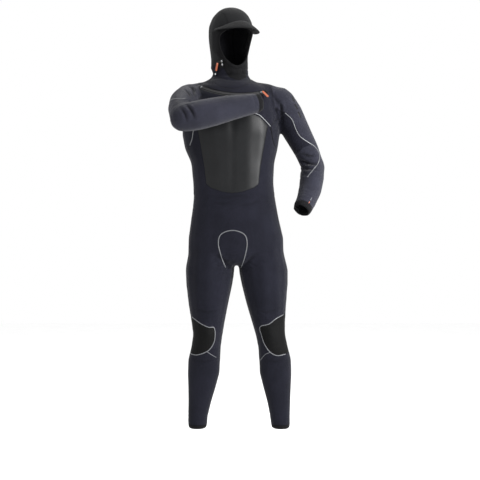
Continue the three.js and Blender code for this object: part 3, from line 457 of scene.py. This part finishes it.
# -------------------------------------------------- cutting the skin into panels
HEAD_CENTRE = floor_mm(-22, -20, 1767)
HEAD_FRONT = np.array([0.482963, -0.836516, -0.258819])
HEAD_UP = np.array([0.12941, -0.224144, 0.965926])
HEAD_LEFT = np.array([0.866025, 0.5, 0])
FACE = [(0, 40), (52, 31), (75, 2), (70, -45), (46, -92), (0, -115), (-46, -92), (-70, -45), (-75, 2),
        (-52, 31)]


def smooth_closed(points, per_side=6):
    """A closed Catmull-Rom curve through the points."""
    points = np.array(points, float)
    out = []
    for i in range(len(points)):
        a, b, c, d = (points[(i + k) % len(points)] for k in (-1, 0, 1, 2))
        for t in np.arange(per_side) / per_side:
            out.append(0.5 * (2 * b + (c - a) * t + (2 * a - 5 * b + 4 * c - d) * t * t
                              + (3 * b - a - 3 * c + d) * t ** 3))
    return np.array(out)


def outline_distance(points, outline):
    """Signed distance from 2-D points to a closed outline, negative inside."""
    best = np.full(len(points), np.inf)
    inside = np.zeros(len(points), bool)
    for a, b in zip(outline, np.roll(outline, -1, axis=0)):
        run = b - a
        t = np.clip(((points - a) @ run) / (run @ run), 0, 1)
        best = np.minimum(best, np.linalg.norm(points - a - t[:, None] * run, axis=1))
        crosses = (a[1] > points[:, 1]) != (b[1] > points[:, 1])
        with np.errstate(divide="ignore", invalid="ignore"):
            at = a[0] + (points[:, 1] - a[1]) * run[0] / run[1]
        inside ^= crosses & (points[:, 0] < at)
    return np.where(inside, -best, best)


def face_distance(co):
    rel = co - HEAD_CENTRE
    flat = np.stack([rel @ HEAD_LEFT, rel @ HEAD_UP], axis=1)
    distance = outline_distance(flat, smooth_closed(FACE) * MM)
    return np.maximum(distance, 10 * MM - rel @ HEAD_FRONT)


def end_distance(co, side, end):
    """Positive on the suit's side of the flat end of a cuff or hem."""
    mount = MOUNTS[f"{side}_{end}_face"]
    axis = unit(mount["axis"])
    ring = node_arrays(f"{side}_{END_NODES[end]}")[0]
    ring = ring[(ring - mount["pos_m"]) @ axis > -1 * MM]
    centre = (ring.min(0) + ring.max(0)) / 2
    radius = np.linalg.norm(ring - centre, axis=1).max()
    beyond = (co - centre) @ axis
    away = np.linalg.norm(co - centre - beyond[:, None] * axis, axis=1) - radius - 8 * MM
    return np.maximum(np.maximum(-beyond - 1.0 * MM, away), beyond - 15 * MM)


def opening_distance(co):
    """Positive where there is neoprene, negative in the openings."""
    fields = [face_distance(co), zip_slot_distance(co)]
    fields += [end_distance(co, side, end) for side in SIDES for end in END_NODES]
    return np.minimum.reduce(fields)


def panel_distances():
    """How far each point of the skin is from each panel near it. The last column is for the openings."""
    table = np.full((len(skin.co), len(PANELS) + 1), 4 * REACH, np.float32)
    for column, name in enumerate(PANELS):
        co, faces = node_arrays(name)
        tree = BVHTree.FromPolygons(co.tolist(), faces)
        near = np.flatnonzero(((skin.co > co.min(0) - REACH) & (skin.co < co.max(0) + REACH)).all(axis=1))
        for i in near:
            hit = tree.find_nearest(skin.co[i], REACH)
            if hit[3] is not None:
                table[i, column] = hit[3]
    nearest = table[:, :-1].min(axis=1)
    table[:, -1] = nearest + opening_distance(skin.co)
    return table


OPENING = len(PANELS)
distances = panel_distances()
label = distances.argmin(axis=1)
SEAM_REACH = 12 * MM
FUSED = [("front_body_panel", "knee"), ("back_body_panel", "knee"),
         ("knee", "shin_panel"), ("knee", "calf_panel"),
         ("elbow_panel", "upper_sleeve"), ("elbow_panel", "forearm_panel"), ("elbow_panel", "underarm_panel")]


def fused(a, b):
    """True where two panels meet without a seam that shows: cut apart only so that a joint can bend."""
    if OPENING in (a, b):
        return False
    pair = PANELS[a], PANELS[b]
    return any((one in pair[0] and two in pair[1]) or (one in pair[1] and two in pair[0])
               for one, two in FUSED)


HIDDEN = np.array([[fused(a, b) for b in range(OPENING + 1)] for a in range(OPENING + 1)])
seam = np.zeros(len(skin.co))
for column in range(OPENING + 1):
    rows = np.flatnonzero(label == column)
    others = np.flatnonzero(~HIDDEN[column] & (np.arange(OPENING + 1) != column))
    seam[rows] = distances[rows][:, others].min(axis=1) - distances[rows, column]
seam = np.clip(seam * 0.5, 0, SEAM_REACH)


def cut_into_panels():
    """Splits every triangle that spans two or three panels where their distances are equal."""
    tris = skin.tris
    pairs = np.sort(np.vstack([tris[:, [0, 1]], tris[:, [1, 2]], tris[:, [2, 0]]]), axis=1)
    pairs = np.unique(pairs[label[pairs[:, 0]] != label[pairs[:, 1]]], axis=0)
    a, b = pairs[:, 0], pairs[:, 1]
    gain_a = distances[a, label[b]] - distances[a, label[a]]
    gain_b = distances[b, label[a]] - distances[b, label[b]]
    t = np.clip(gain_a / np.maximum(gain_a + gain_b, 1e-9), 0.03, 0.97)[:, None]
    count = len(skin.co)
    co = np.vstack([skin.co, skin.co[a] * (1 - t) + skin.co[b] * t])
    normal = np.vstack([skin.normal, skin.normal[a] * (1 - t) + skin.normal[b] * t])
    across = np.where(HIDDEN[label[a], label[b]], np.minimum(seam[a], seam[b]), 0)
    edge = np.concatenate([seam, across])
    painted_shade = np.concatenate([painted_fold_shade, painted_fold_shade[a] * (1 - t[:, 0]) + painted_fold_shade[b] * t[:, 0]])
    crossing = {(int(p), int(q)): count + i for i, (p, q) in enumerate(pairs)}
    labels = label[tris]
    whole = (labels == labels[:, :1]).all(axis=1)
    groups = {k: [tris[whole & (labels[:, 0] == k)]] for k in range(OPENING + 1)}
    extra_co, extra_normal = [], []
    for tri, kinds in zip(tris[~whole].tolist(), labels[~whole].tolist()):
        mid = [crossing.get((min(tri[i], tri[(i + 1) % 3]), max(tri[i], tri[(i + 1) % 3]))) for i in range(3)]
        if len(set(kinds)) == 3:
            centre = len(co) + len(extra_co)
            extra_co.append(co[mid].mean(axis=0))
            extra_normal.append(normal[mid].mean(axis=0))
            for i in range(3):
                groups[kinds[i]].append([[tri[i], mid[i], centre], [tri[i], centre, mid[i - 1]]])
            continue
        i = next(i for i in range(3) if kinds[i] != kinds[(i + 1) % 3] and kinds[i] != kinds[(i + 2) % 3])
        p, q, r = tri[i], tri[(i + 1) % 3], tri[(i + 2) % 3]
        pq, rp = mid[i], mid[(i + 2) % 3]
        groups[kinds[i]].append([[p, pq, rp]])
        groups[kinds[(i + 1) % 3]].append([[pq, q, r], [pq, r, rp]])
    if extra_co:
        co = np.vstack([co, extra_co])
        normal = np.vstack([normal, extra_normal])
        edge = np.concatenate([edge, np.zeros(len(extra_co))])
        painted_shade = np.concatenate([painted_shade, np.zeros(len(extra_co))])
    normal /= np.linalg.norm(normal, axis=1)[:, None]
    return co, normal, edge, painted_shade, {k: np.vstack(v) for k, v in groups.items() if sum(map(len, v))}


cut_co, cut_normal, cut_seam, cut_painted_shade, cut_faces = cut_into_panels()


def main_parts(tris, fewest=60):
    """Drops crumbs: patches of fewer triangles than this."""
    label = np.arange(tris.max() + 1)
    while True:
        lowest = label[tris].min(axis=1)
        before = label.copy()
        for i in range(3):
            np.minimum.at(label, tris[:, i], lowest)
        label = label[label]
        if (label == before).all():
            break
    owner = label[tris[:, 0]]
    kinds, counts = np.unique(owner, return_counts=True)
    return tris[np.isin(owner, kinds[counts >= fewest])]


def slab(name, tris, top, base, material, inner=None, fewest=60):
    """A closed sheet over some triangles of the cut skin, between two depths below it."""
    tris = main_parts(tris, fewest)
    used, index = np.unique(tris, return_inverse=True)
    outer = index.reshape(-1, 3)
    count = len(used)
    normal = cut_normal[used]
    co = np.vstack([cut_co[used] - normal * top, cut_co[used] - normal * base])
    inner_tris = outer[:, ::-1] + count
    sides = np.vstack([outer[:, [0, 1]], outer[:, [1, 2]], outer[:, [2, 0]]])
    keys = sides[:, 0] * (count + 1) + sides[:, 1]
    back = sides[:, 1] * (count + 1) + sides[:, 0]
    border = sides[~np.isin(keys, back)]
    rims = np.stack([border[:, 1], border[:, 0], border[:, 0] + count, border[:, 1] + count], axis=1)
    faces = outer.tolist() + inner_tris.tolist() + rims.tolist()
    mesh = bpy.data.meshes.new(name)
    mesh.from_pydata(co.tolist(), [], faces)
    mesh.update()
    obj = bpy.data.objects.new(name, mesh)
    bpy.context.scene.collection.objects.link(obj)
    mesh.shade_smooth()
    mesh.materials.append(material)
    if inner:
        mesh.materials.append(inner)
        slots = np.zeros(len(faces), np.int32)
        slots[len(outer):2 * len(outer)] = 1
        mesh.polygons.foreach_set("material_index", slots)
    rim_normals = np.cross(co[rims[:, 2]] - co[rims[:, 0]], co[rims[:, 1]] - co[rims[:, 0]])
    rim_normals /= np.maximum(np.linalg.norm(rim_normals, axis=1), 1e-12)[:, None]
    loops = np.vstack([
        normal[outer.ravel()], -normal[outer[:, ::-1].ravel()], np.repeat(-rim_normals, 4, axis=0)])
    mesh.normals_split_custom_set(loops.tolist())
    # point attributes for the material: distance to the nearest seam, and the painted shade of fold and
    # crease valleys
    for attribute, values in (("seam", cut_seam / MM), ("painted_crease_shade", cut_painted_shade)):
        data = mesh.attributes.new(attribute, "FLOAT", "POINT").data
        data.foreach_set("value", np.tile(values[used], 2).astype(np.float32))
    return obj


# -------------------------------------------------- materials
def new_material(name):
    material = bpy.data.materials.new(name)
    material.use_nodes = True
    nodes = material.node_tree.nodes
    links = material.node_tree.links
    return material, nodes, links, nodes["Principled BSDF"]


def math_node(nodes, links, operation, a, b, clamp=False):
    node = nodes.new("ShaderNodeMath")
    node.operation = operation
    node.use_clamp = clamp
    for socket, value in zip(node.inputs, (a, b)):
        if isinstance(value, (int, float)):
            socket.default_value = value
        else:
            links.new(value, socket)
    return node.outputs[0]


def noise_node(nodes, links, place, scale, detail=3, roughness=0.6):
    node = nodes.new("ShaderNodeTexNoise")
    node.inputs["Scale"].default_value = scale
    node.inputs["Detail"].default_value = detail
    node.inputs["Roughness"].default_value = roughness
    links.new(place, node.inputs["Vector"])
    return node.outputs["Fac"]


def neoprene(name, dark, light, roughness, knit_scale, knit_depth, sheen=0.0, specular=0.5, coat=0.0,
             grain="knit", mottle_scale=260):
    """Neoprene faced with knit, embossed smoothskin or ribbed fabric, its bump sunk into a line along its
    seams, with painted shade darkening the colour along the seams and in the valleys of folds and creases.
    """
    material, nodes, links, shader = new_material(name)
    place = nodes.new("ShaderNodeTexCoord").outputs["Object"]
    broad = noise_node(nodes, links, place, 9, 4)
    fine = noise_node(nodes, links, place, mottle_scale, 4, 0.75)
    mixed = math_node(nodes, links, "ADD", math_node(nodes, links, "MULTIPLY", broad, 0.45),
                      math_node(nodes, links, "MULTIPLY", fine, 0.55))
    ramp = nodes.new("ShaderNodeValToRGB")
    ramp.color_ramp.elements[0].position = 0.36
    ramp.color_ramp.elements[1].position = 0.66
    ramp.color_ramp.elements[0].color = (*dark, 1)
    ramp.color_ramp.elements[1].color = (*light, 1)
    links.new(mixed, ramp.inputs["Fac"])
    edge = nodes.new("ShaderNodeAttribute")
    edge.attribute_name = "seam"
    off_seam = math_node(nodes, links, "DIVIDE", edge.outputs["Fac"], 1.7, True)
    # nearness to a seam: it sinks the bump into a groove and darkens the colour with painted shade
    groove_and_shade = math_node(nodes, links, "SUBTRACT", 1, off_seam, True)
    # painted shade: the colour is multiplied darker along the seams and in the valleys of folds and creases
    painted_shade = nodes.new("ShaderNodeMix")
    painted_shade.data_type = "RGBA"
    painted_shade.blend_type = "MULTIPLY"
    painted_crease_shade = nodes.new("ShaderNodeAttribute")
    painted_crease_shade.attribute_name = "painted_crease_shade"
    painted_shade_amount = math_node(nodes, links, "MAXIMUM", groove_and_shade, painted_crease_shade.outputs["Fac"])
    links.new(painted_shade_amount, painted_shade.inputs["Factor"])
    links.new(ramp.outputs["Color"], painted_shade.inputs["A"])
    painted_shade.inputs["B"].default_value = (0.42, 0.42, 0.44, 1)
    links.new(painted_shade.outputs["Result"], shader.inputs["Base Color"])
    if grain == "knit":
        cells = nodes.new("ShaderNodeTexWave")
        cells.wave_type = "BANDS"
        cells.bands_direction = "DIAGONAL"
        cells.inputs["Scale"].default_value = knit_scale
        cells.inputs["Distortion"].default_value = 3
        cells.inputs["Detail"].default_value = 2
        links.new(place, cells.inputs["Vector"])
        surface = cells.outputs["Fac"]
    elif grain == "rib":
        cells = nodes.new("ShaderNodeTexVoronoi")
        cells.inputs["Scale"].default_value = knit_scale
        links.new(place, cells.inputs["Vector"])
        surface = cells.outputs["Distance"]
    else:
        surface = noise_node(nodes, links, place, knit_scale, 5, 0.7)
    height = math_node(nodes, links, "SUBTRACT",
                       math_node(nodes, links, "MULTIPLY", surface, knit_depth),
                       math_node(nodes, links, "MULTIPLY", groove_and_shade, 1.6))
    bump = nodes.new("ShaderNodeBump")
    bump.inputs["Strength"].default_value = 0.55
    bump.inputs["Distance"].default_value = 0.0009
    links.new(height, bump.inputs["Height"])
    links.new(bump.outputs["Normal"], shader.inputs["Normal"])
    rough = nodes.new("ShaderNodeMapRange")
    rough.inputs["To Min"].default_value = roughness - 0.05
    rough.inputs["To Max"].default_value = roughness + 0.08
    links.new(fine, rough.inputs["Value"])
    links.new(rough.outputs["Result"], shader.inputs["Roughness"])
    shader.inputs["Sheen Weight"].default_value = sheen
    shader.inputs["Sheen Roughness"].default_value = 0.45
    shader.inputs["Specular IOR Level"].default_value = specular
    shader.inputs["Coat Weight"].default_value = coat
    shader.inputs["Coat Roughness"].default_value = 0.3
    return material


def plain_finish(name, dark, light, roughness, scale, depth, metallic=0.0):
    """A small moulded, woven or metal part: fine uneven colour and a fine bump."""
    material, nodes, links, shader = new_material(name)
    place = nodes.new("ShaderNodeTexCoord").outputs["Object"]
    fine = noise_node(nodes, links, place, scale, 3)
    ramp = nodes.new("ShaderNodeValToRGB")
    ramp.color_ramp.elements[0].position = 0.35
    ramp.color_ramp.elements[1].position = 0.65
    ramp.color_ramp.elements[0].color = (*dark, 1)
    ramp.color_ramp.elements[1].color = (*light, 1)
    links.new(fine, ramp.inputs["Fac"])
    links.new(ramp.outputs["Color"], shader.inputs["Base Color"])
    bump = nodes.new("ShaderNodeBump")
    bump.inputs["Strength"].default_value = 0.4
    bump.inputs["Distance"].default_value = depth
    links.new(fine, bump.inputs["Height"])
    links.new(bump.outputs["Normal"], shader.inputs["Normal"])
    shader.inputs["Roughness"].default_value = roughness
    shader.inputs["Metallic"].default_value = metallic
    return material


MATERIALS = {
    "jersey": neoprene("jersey", (0.0026, 0.0028, 0.0054), (0.0066, 0.0068, 0.0118), 0.8, 420, 0.5,
                       sheen=0.06, specular=0.07),
    "sleeve_jersey": neoprene("sleeve_jersey", (0.0066, 0.0069, 0.0112), (0.0150, 0.0154, 0.0240), 0.78,
                              420, 0.5, sheen=0.09, specular=0.09),
    "hood_jersey": neoprene("hood_jersey", (0.0044, 0.0046, 0.0050), (0.0078, 0.0081, 0.0088), 0.78, 420, 0.3,
                            sheen=0.06, specular=0.08),
    "black_jersey": neoprene("black_jersey", (0.0022, 0.0022, 0.0025), (0.0052, 0.0052, 0.006), 0.8, 420, 0.3,
                             sheen=0.04, specular=0.06),
    "smoothskin": neoprene("smoothskin", (0.0035, 0.0037, 0.0042), (0.0060, 0.0063, 0.0068), 0.42, 700, 0.22,
                           specular=0.13, coat=0.03, grain="emboss"),
    "knee_fabric": neoprene("knee_fabric", (0.0012, 0.0012, 0.0013), (0.0032, 0.0033, 0.0035), 0.66, 520, 1.2,
                            sheen=0.01, specular=0.06, grain="rib"),
    "lining": neoprene("lining", (0.003, 0.003, 0.004), (0.009, 0.009, 0.011), 0.95, 300, 1.2,
                       sheen=0.05, specular=0.03),
    "seam_tape": plain_finish("seam_tape", (0.05, 0.052, 0.056), (0.085, 0.088, 0.094), 0.42, 500, 0.0003),
    "black_cord": plain_finish("black_cord", (0.004, 0.004, 0.004), (0.01, 0.01, 0.011), 0.8, 1400, 0.0005),
    "zip_plastic": plain_finish("zip_plastic", (0.006, 0.006, 0.007), (0.014, 0.014, 0.015), 0.4,
                                900, 0.0001),
    "hardware_metal": plain_finish("hardware_metal", (0.4, 0.41, 0.43), (0.55, 0.56, 0.58), 0.3,
                                   700, 0.0001, 1.0),
    "orange_rubber": plain_finish("orange_rubber", (0.2, 0.045, 0.018), (0.27, 0.066, 0.026), 0.5,
                                  800, 0.0003),
}
SLOT_OF = {s["node"]: s["material_slot"] for s in frame["record"]["subparts"]}


def body_of(name):
    return next(b for b, nodes in frame["record"]["behaviour"]["bodies"].items() if name in nodes)


def follow(obj, name):
    """Rides on the body of the CAD node; a piece of an arm or knee only has its place baked into its mesh."""
    side = name.split("_")[0]
    if side in SIDES and any(part in name for part in ARM_PARTS + ("sleeve_tape",)):
        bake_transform(obj)
    elif side in SIDES and "knee" in name:
        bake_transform(obj)
    else:
        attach(obj, body_of(name))


# -------------------------------------------------- the neoprene panels
LIGHTER_PARTS = ("upper_sleeve", "elbow_panel", "forearm_panel")
for column, name in enumerate(PANELS):
    slot = SLOT_OF[name]
    on_sleeve = slot == "jersey" and any(part in name for part in LIGHTER_PARTS)
    finish = MATERIALS["sleeve_jersey" if on_sleeve else "jersey" if name == "collar_panel" else slot]
    panel = slab(f"{name}_neoprene", cut_faces[column], 0, NEOPRENE, finish, MATERIALS["lining"])
    follow(panel, name)
    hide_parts(name)

# -------------------------------------------------- linings
HOOD_LINING_EDGE = 15 * MM
TORSO_LINING = (1000 * MM + FLOOR, 1420 * MM + FLOOR)


def chosen(columns, test):
    """The triangles of some panels whose centres pass a test."""
    tris = np.vstack([cut_faces[PANELS.index(n)] for n in columns])
    return tris[test(cut_co[tris].mean(axis=1))]


hood_lining = slab("hood_thermal_lining", chosen(
    HOOD_SHELL,
    lambda co: (face_distance(co) > HOOD_LINING_EDGE) & (co[:, 2] > 1690 * MM + FLOOR)),
    LINING_TOP, LINING_BASE, MATERIALS["lining"])
torso_lining = slab("torso_thermal_lining", chosen(
    ["chest_smoothskin_panel", "front_body_panel", "back_body_panel", "back_smoothskin_panel",
     "left_side_panel", "right_side_panel"],
    lambda co: (co[:, 2] > TORSO_LINING[0]) & (co[:, 2] < TORSO_LINING[1])),
    LINING_TOP, LINING_BASE, MATERIALS["lining"])
for piece, name in ((hood_lining, "hood_lining"), (torso_lining, "torso_lining")):
    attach(piece, "suit")
    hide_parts(name)

# -------------------------------------------------- seam tapes, laid along lines drawn from the front
skin_tree = BVHTree.FromPolygons(skin.co.tolist(), skin.tris.tolist())


def surface_normal(place, face):
    """The skin's smooth normal at a place on one of its triangles."""
    tri = skin.tris[face]
    gap = np.linalg.norm(skin.co[tri] - place, axis=1) + 1e-6
    return unit((skin.normal[tri] / gap[:, None]).sum(axis=0))


def on_skin(point):
    place, _, face, _ = skin_tree.find_nearest(point)
    return np.array(place), surface_normal(np.array(place), face)


def projected(line, from_y):
    """The line's points [x, z], in millimetres from the floor, carried straight back onto the skin."""
    out = []
    for x, z in smooth_open(line):
        place, _, _, _ = skin_tree.ray_cast(floor_mm(x, from_y, z), (0, 1, 0))
        if place is not None:
            out.append(np.array(place))
    return np.array(out)


RIBBON = ((-1, 0.0), (-0.92, 0.75), (-0.5, 1), (0, 1.06), (0.5, 1), (0.92, 0.75), (1, 0.0))
RIBBON_SINK = 0.5 * MM


def ribbon(name, path, half, height, material):
    """A closed strip of tape that hugs the skin along a path."""
    runs = np.gradient(path, axis=0)
    rows = []
    for place, run in zip(path, runs):
        centre, normal = on_skin(place)
        side = unit(np.cross(normal, run))
        row = []
        for across, rise in RIBBON:
            foot, out = on_skin(centre + side * across * half)
            row.append(foot + out * (rise * height - (RIBBON_SINK if rise == 0 else 0)))
        rows.append(row)
    return loft(name, rows, material)


MIDDLE = -14                   # the suit's centre line across the chest
CHEST_HALF = [(30, 1456), (77, 1434), (96, 1427), (118, 1408), (142, 1384)]
SIDE_HALF = [(139, 1380), (146, 1360), (150, 1335), (160, 1308)]
KNEE = {
    "right": [(-180, 604), (-143, 579), (-112, 565), (-88, 561), (-86, 518), (-97, 487), (-119, 464),
              (-160, 449), (-190, 452)],
    "left": [(205, 452), (170, 447), (141, 461), (118, 493), (106, 528), (99, 565), (135, 578),
             (165, 600), (195, 614)],
}


def mirror(line):
    return [(2 * MIDDLE - x, z) for x, z in line]


CROTCH = [(22, 808), (36, 850), (46, 905), (34, 944), (MIDDLE, 960), (-60, 944), (-71, 905), (-58, 850),
          (-42, 808)]
LEFT_SLEEVE = [(201, 1443), (230, 1416), (245, 1380), (263, 1349), (293, 1328), (323, 1311), (342, 1290),
               (348, 1268), (340, 1238), (319, 1212), (293, 1179)]
RIGHT_SLEEVE = [(-284, 1470), (-262, 1481), (-240, 1482), (-216, 1479), (-199, 1482)]
IN_FRONT_OF_TORSO = -150       # the folded arm is further forwards than this
IN_FRONT_OF_ARM = -500
TAPES = {
    "chest_tape": (mirror(CHEST_HALF)[::-1] + [(MIDDLE, 1464)] + CHEST_HALF, IN_FRONT_OF_TORSO),
    "left_side_tape": (SIDE_HALF, IN_FRONT_OF_TORSO),
    "right_side_tape": (mirror(SIDE_HALF), IN_FRONT_OF_TORSO),
    "crotch_tape": (CROTCH, IN_FRONT_OF_TORSO),
    "right_knee_tape": (KNEE["right"], IN_FRONT_OF_TORSO),
    "left_knee_tape": (KNEE["left"], IN_FRONT_OF_TORSO),
    "left_sleeve_tape": (LEFT_SLEEVE, IN_FRONT_OF_TORSO),
    "right_sleeve_tape": (RIGHT_SLEEVE, IN_FRONT_OF_ARM),
}
# painted shade: the left side tape is the grey tape of the right side, given the black jersey finish for the
# shade that falls on it
TAPES_IN_PAINTED_SHADE = ("left_side_tape",)
for name, (line, from_y) in TAPES.items():
    finish = MATERIALS["black_jersey" if name in TAPES_IN_PAINTED_SHADE else "seam_tape"]
    strip = ribbon(f"{name}_strip", projected(line, from_y), TAPE_HALF, TAPE_HEIGHT, finish)
    follow(strip, name)
    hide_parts(name)

# plain bars on the left sleeve, and a second short tape at each knee
IN_FRONT_OF_LIMBS = -165
MARKS = {
    # name: line, half width (mm), height (mm), finish
    "left_sleeve_tape_mark_a": ([(232, 1512), (240, 1492)], 5, 0.25, "smoothskin"),
    "left_sleeve_tape_mark_b": ([(244, 1480), (253, 1460)], 5, 0.25, "smoothskin"),
    "left_sleeve_tape_mark_c": ([(257, 1448), (267, 1426)], 5, 0.25, "smoothskin"),
    "left_sleeve_tape_mark_d": ([(296, 1070), (300, 1078)], 1.5, 0.2, "orange_rubber"),
    "left_sleeve_tape_mark_e": ([(303, 1082), (310, 1094)], 1.5, 0.2, "seam_tape"),
    "right_knee_mark": ([(-119, 464), (-100, 450), (-81, 438)], 1.3, 0.6, "seam_tape"),
    "left_knee_mark": ([(141, 461), (120, 450), (101, 424)], 1.3, 0.6, "seam_tape"),
}
for name, (line, half, height, finish) in MARKS.items():
    path = projected(line, IN_FRONT_OF_LIMBS)
    follow(ribbon(name, path, half * MM, height * MM, MATERIALS[finish]), name)

# -------------------------------------------------- hood brim, drawcord and zip
def settled(obj, node):
    """The piece stands in for a CAD node, on that node's body."""
    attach(obj, body_of(node))
    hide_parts(node)
    return obj


# the brim of the hood: an arched sheet that droops to the temples
BRIM_REACH = 44 * MM
BRIM_SIDE_REACH = 4 * MM
BRIM_SINK = 3 * MM             # how deep its root lies in the hood
BRIM_HEIGHT = 70 * MM          # above the head's centre at the forehead
BRIM_DROOP = 48 * MM           # towards the temples
BRIM_SLOPE = 0.46
BRIM_SPREAD = math.radians(74)
BRIM_HALF = 2.3 * MM
BRIM_STEPS = 48
BRIM_PROFILE = (0.0, 0.2, 0.4, 0.6, 0.8, 0.93, 1.0)


def brim():
    rings = []
    for turn in np.linspace(BRIM_SPREAD, -BRIM_SPREAD, BRIM_STEPS + 1):
        outwards = HEAD_LEFT * math.sin(turn) + HEAD_FRONT * math.cos(turn)
        height = BRIM_HEIGHT - BRIM_DROOP * math.sin(turn) ** 2
        level = HEAD_CENTRE + HEAD_UP * height
        root = np.array(skin_tree.ray_cast(level + outwards * 0.25, -outwards)[0]) - outwards * BRIM_SINK
        reach = BRIM_SINK + BRIM_SIDE_REACH + BRIM_REACH * math.cos(turn) ** 1.2
        upper, lower = [], []
        for part in BRIM_PROFILE:
            drop = BRIM_SLOPE * reach * (0.75 * part + 0.25 * part * part)
            half = BRIM_HALF * (1 if part < 0.9 else 0.75 if part < 1 else 0.25)
            middle = root + outwards * reach * part - HEAD_UP * (drop + BRIM_HALF)
            upper.append(middle + HEAD_UP * half)
            lower.append(middle - HEAD_UP * half)
        rings.append(lower + upper[::-1])
    return loft("hood_brim", rings, MATERIALS["hood_jersey"])


settled(brim(), "hood_visor")


# the drawcord, round in section, along its route
CORD_RADIUS = 1.2 * MM
CORD_ROUTE = [
    (-.05938, -.068313, .136216), (-.060687, -.068294, .135732), (-.061972, -.068327, .135223),
    (-.0633, -.068257, .134763), (-.064734, -.067928, .134425), (-.067346, -.066723, .134459),
    (-.070343, -.064917, .134905), (-.073122, -.062973, .13516), (-.075083, -.061359, .134621),
    (-.075769, -.060529, .133588), (-.075998, -.059865, .132214), (-.076084, -.059168, .130508),
    (-.07634, -.058241, .128482), (-.077789, -.054646, .121406), (-.079739, -.04981, .111884),
    (-.081889, -.044477, .101385), (-.083939, -.039393, .091375),
]


def tube(name, path, radius, material, sides=12):
    path = np.array(path)
    side = unit(np.cross(path[1] - path[0], (0, 0, 1)))
    rings = []
    for place, run in zip(path, np.gradient(path, axis=0)):
        run = unit(run)
        side = unit(side - run * (side @ run))
        up = np.cross(run, side)
        turns = np.arange(sides) * 2 * math.pi / sides
        rings.append([place + radius * (math.cos(t) * side + math.sin(t) * up) for t in turns])
    return loft(name, rings, material)


drawcord = settled(tube("hood_drawcord", CORD_ROUTE, CORD_RADIUS, MATERIALS["black_cord"]), "drawcord")


# the zip's tapes, garage and barrier follow the track
def track_piece(name, profile, start, end, material, steps=72):
    """A bar along the zip's track, with a cross-section of corners (up, out) in millimetres."""
    rings = [[zip_point(along, up * MM, out * MM) for up, out in profile]
             for along in np.linspace(start, end, steps + 1)]
    return loft(name, rings, material)


def rounded_strip(low, high, base, top):
    """A flat strip's cross-section with round edges, counter-clockwise."""
    middle, half = (base + top) / 2, (top - base) / 2
    turns = np.linspace(-1.5, 1.5, 7)
    right = [(high - half + half * math.cos(t), middle + half * math.sin(t)) for t in turns]
    left = [(low + half - half * math.cos(t), middle + half * math.sin(t)) for t in turns[::-1]]
    return right + left


WEBBING_INNER = 4.6            # millimetres from the middle of the track
WEBBING_OUTER = 9.0
WEBBING_OVERRUN = 3.8 * MM
GARAGE_HALF = 7
for level, low, high in (("upper", WEBBING_INNER, WEBBING_OUTER), ("lower", -WEBBING_OUTER, -WEBBING_INNER)):
    settled(track_piece(f"{level}_zip_webbing", rounded_strip(low, high, -2.4, -1.0), -WEBBING_OVERRUN,
                        ZIP_LENGTH + WEBBING_OVERRUN, MATERIALS["black_cord"]), f"{level}_zip_tape")
settled(track_piece("zip_garage_cap", rounded_strip(-GARAGE_HALF, GARAGE_HALF, -0.5, 1.4),
                    ZIP_LENGTH + 1 * MM, ZIP_LENGTH + 19 * MM, MATERIALS["black_jersey"], 16), "zip_garage")
BARRIER_REACH = 8 * MM         # how far it runs past the slot
BARRIER_TOP = 8.7 * MM         # its depth under the skin
BARRIER_BASE = 10.2 * MM
behind_zip = np.vstack([cut_faces[OPENING]] + [cut_faces[PANELS.index(n)] for n in (
    "upper_chest_panel", "chest_smoothskin_panel", "front_body_panel")])
behind_zip = behind_zip[zip_slot_distance(cut_co[behind_zip].mean(axis=1)) < BARRIER_REACH]
settled(slab("zip_barrier_flap", behind_zip, BARRIER_TOP, BARRIER_BASE, MATERIALS["lining"]), "zip_barrier")

# -------------------------------------------------- CAD nodes that keep their shape
KEPT = [
    "upper_cord_eyelet", "lower_cord_eyelet", "cord_end_bead", "drawcord_toggle", "zip_stop",
    "zip_teeth", "zip_slider", "zip_pull",
]
for name in KEPT:
    mesh = NODES[name].data
    mesh.materials.clear()
    mesh.materials.append(MATERIALS[SLOT_OF[name]])

# -------------------------------------------------- studio
bpy.context.scene.view_settings.view_transform = "Standard"
world = bpy.data.worlds.new("studio")
world.use_nodes = True
world.node_tree.nodes["Background"].inputs["Color"].default_value = (1, 1, 1, 1)
world.node_tree.nodes["Background"].inputs["Strength"].default_value = 1.0
bpy.context.scene.world = world


def softbox(name, place, target, size, power, height=None):
    data = bpy.data.lights.new(name, "AREA")
    data.shape = "RECTANGLE"
    data.size = size
    data.size_y = height or size
    data.energy = power
    light = bpy.data.objects.new(name, data)
    light.location = place
    light.rotation_euler = (Vector(target) - Vector(place)).to_track_quat("-Z", "Y").to_euler()
    bpy.context.scene.collection.objects.link(light)


softbox("key", (2.4, -1.7, 1.1), (0, 0, -0.3), 1.3, 80)
softbox("fill", (-2.6, -1.2, 0.9), (0, 0, -0.4), 1.6, 45)
softbox("strip", (2.6, -1.9, 0.1), (0, 0, -0.1), 1.0, 210, height=1.8)

FLOOR_HALF = 8
floor = new_object("floor", [
    (-FLOOR_HALF, -FLOOR_HALF, FLOOR), (FLOOR_HALF, -FLOOR_HALF, FLOOR),
    (FLOOR_HALF, FLOOR_HALF, FLOOR), (-FLOOR_HALF, FLOOR_HALF, FLOOR)], [(0, 1, 2, 3)],
    plain_finish("floor_paint", (0.93, 0.93, 0.93), (0.95, 0.95, 0.95), 0.95, 6, 0.0001))
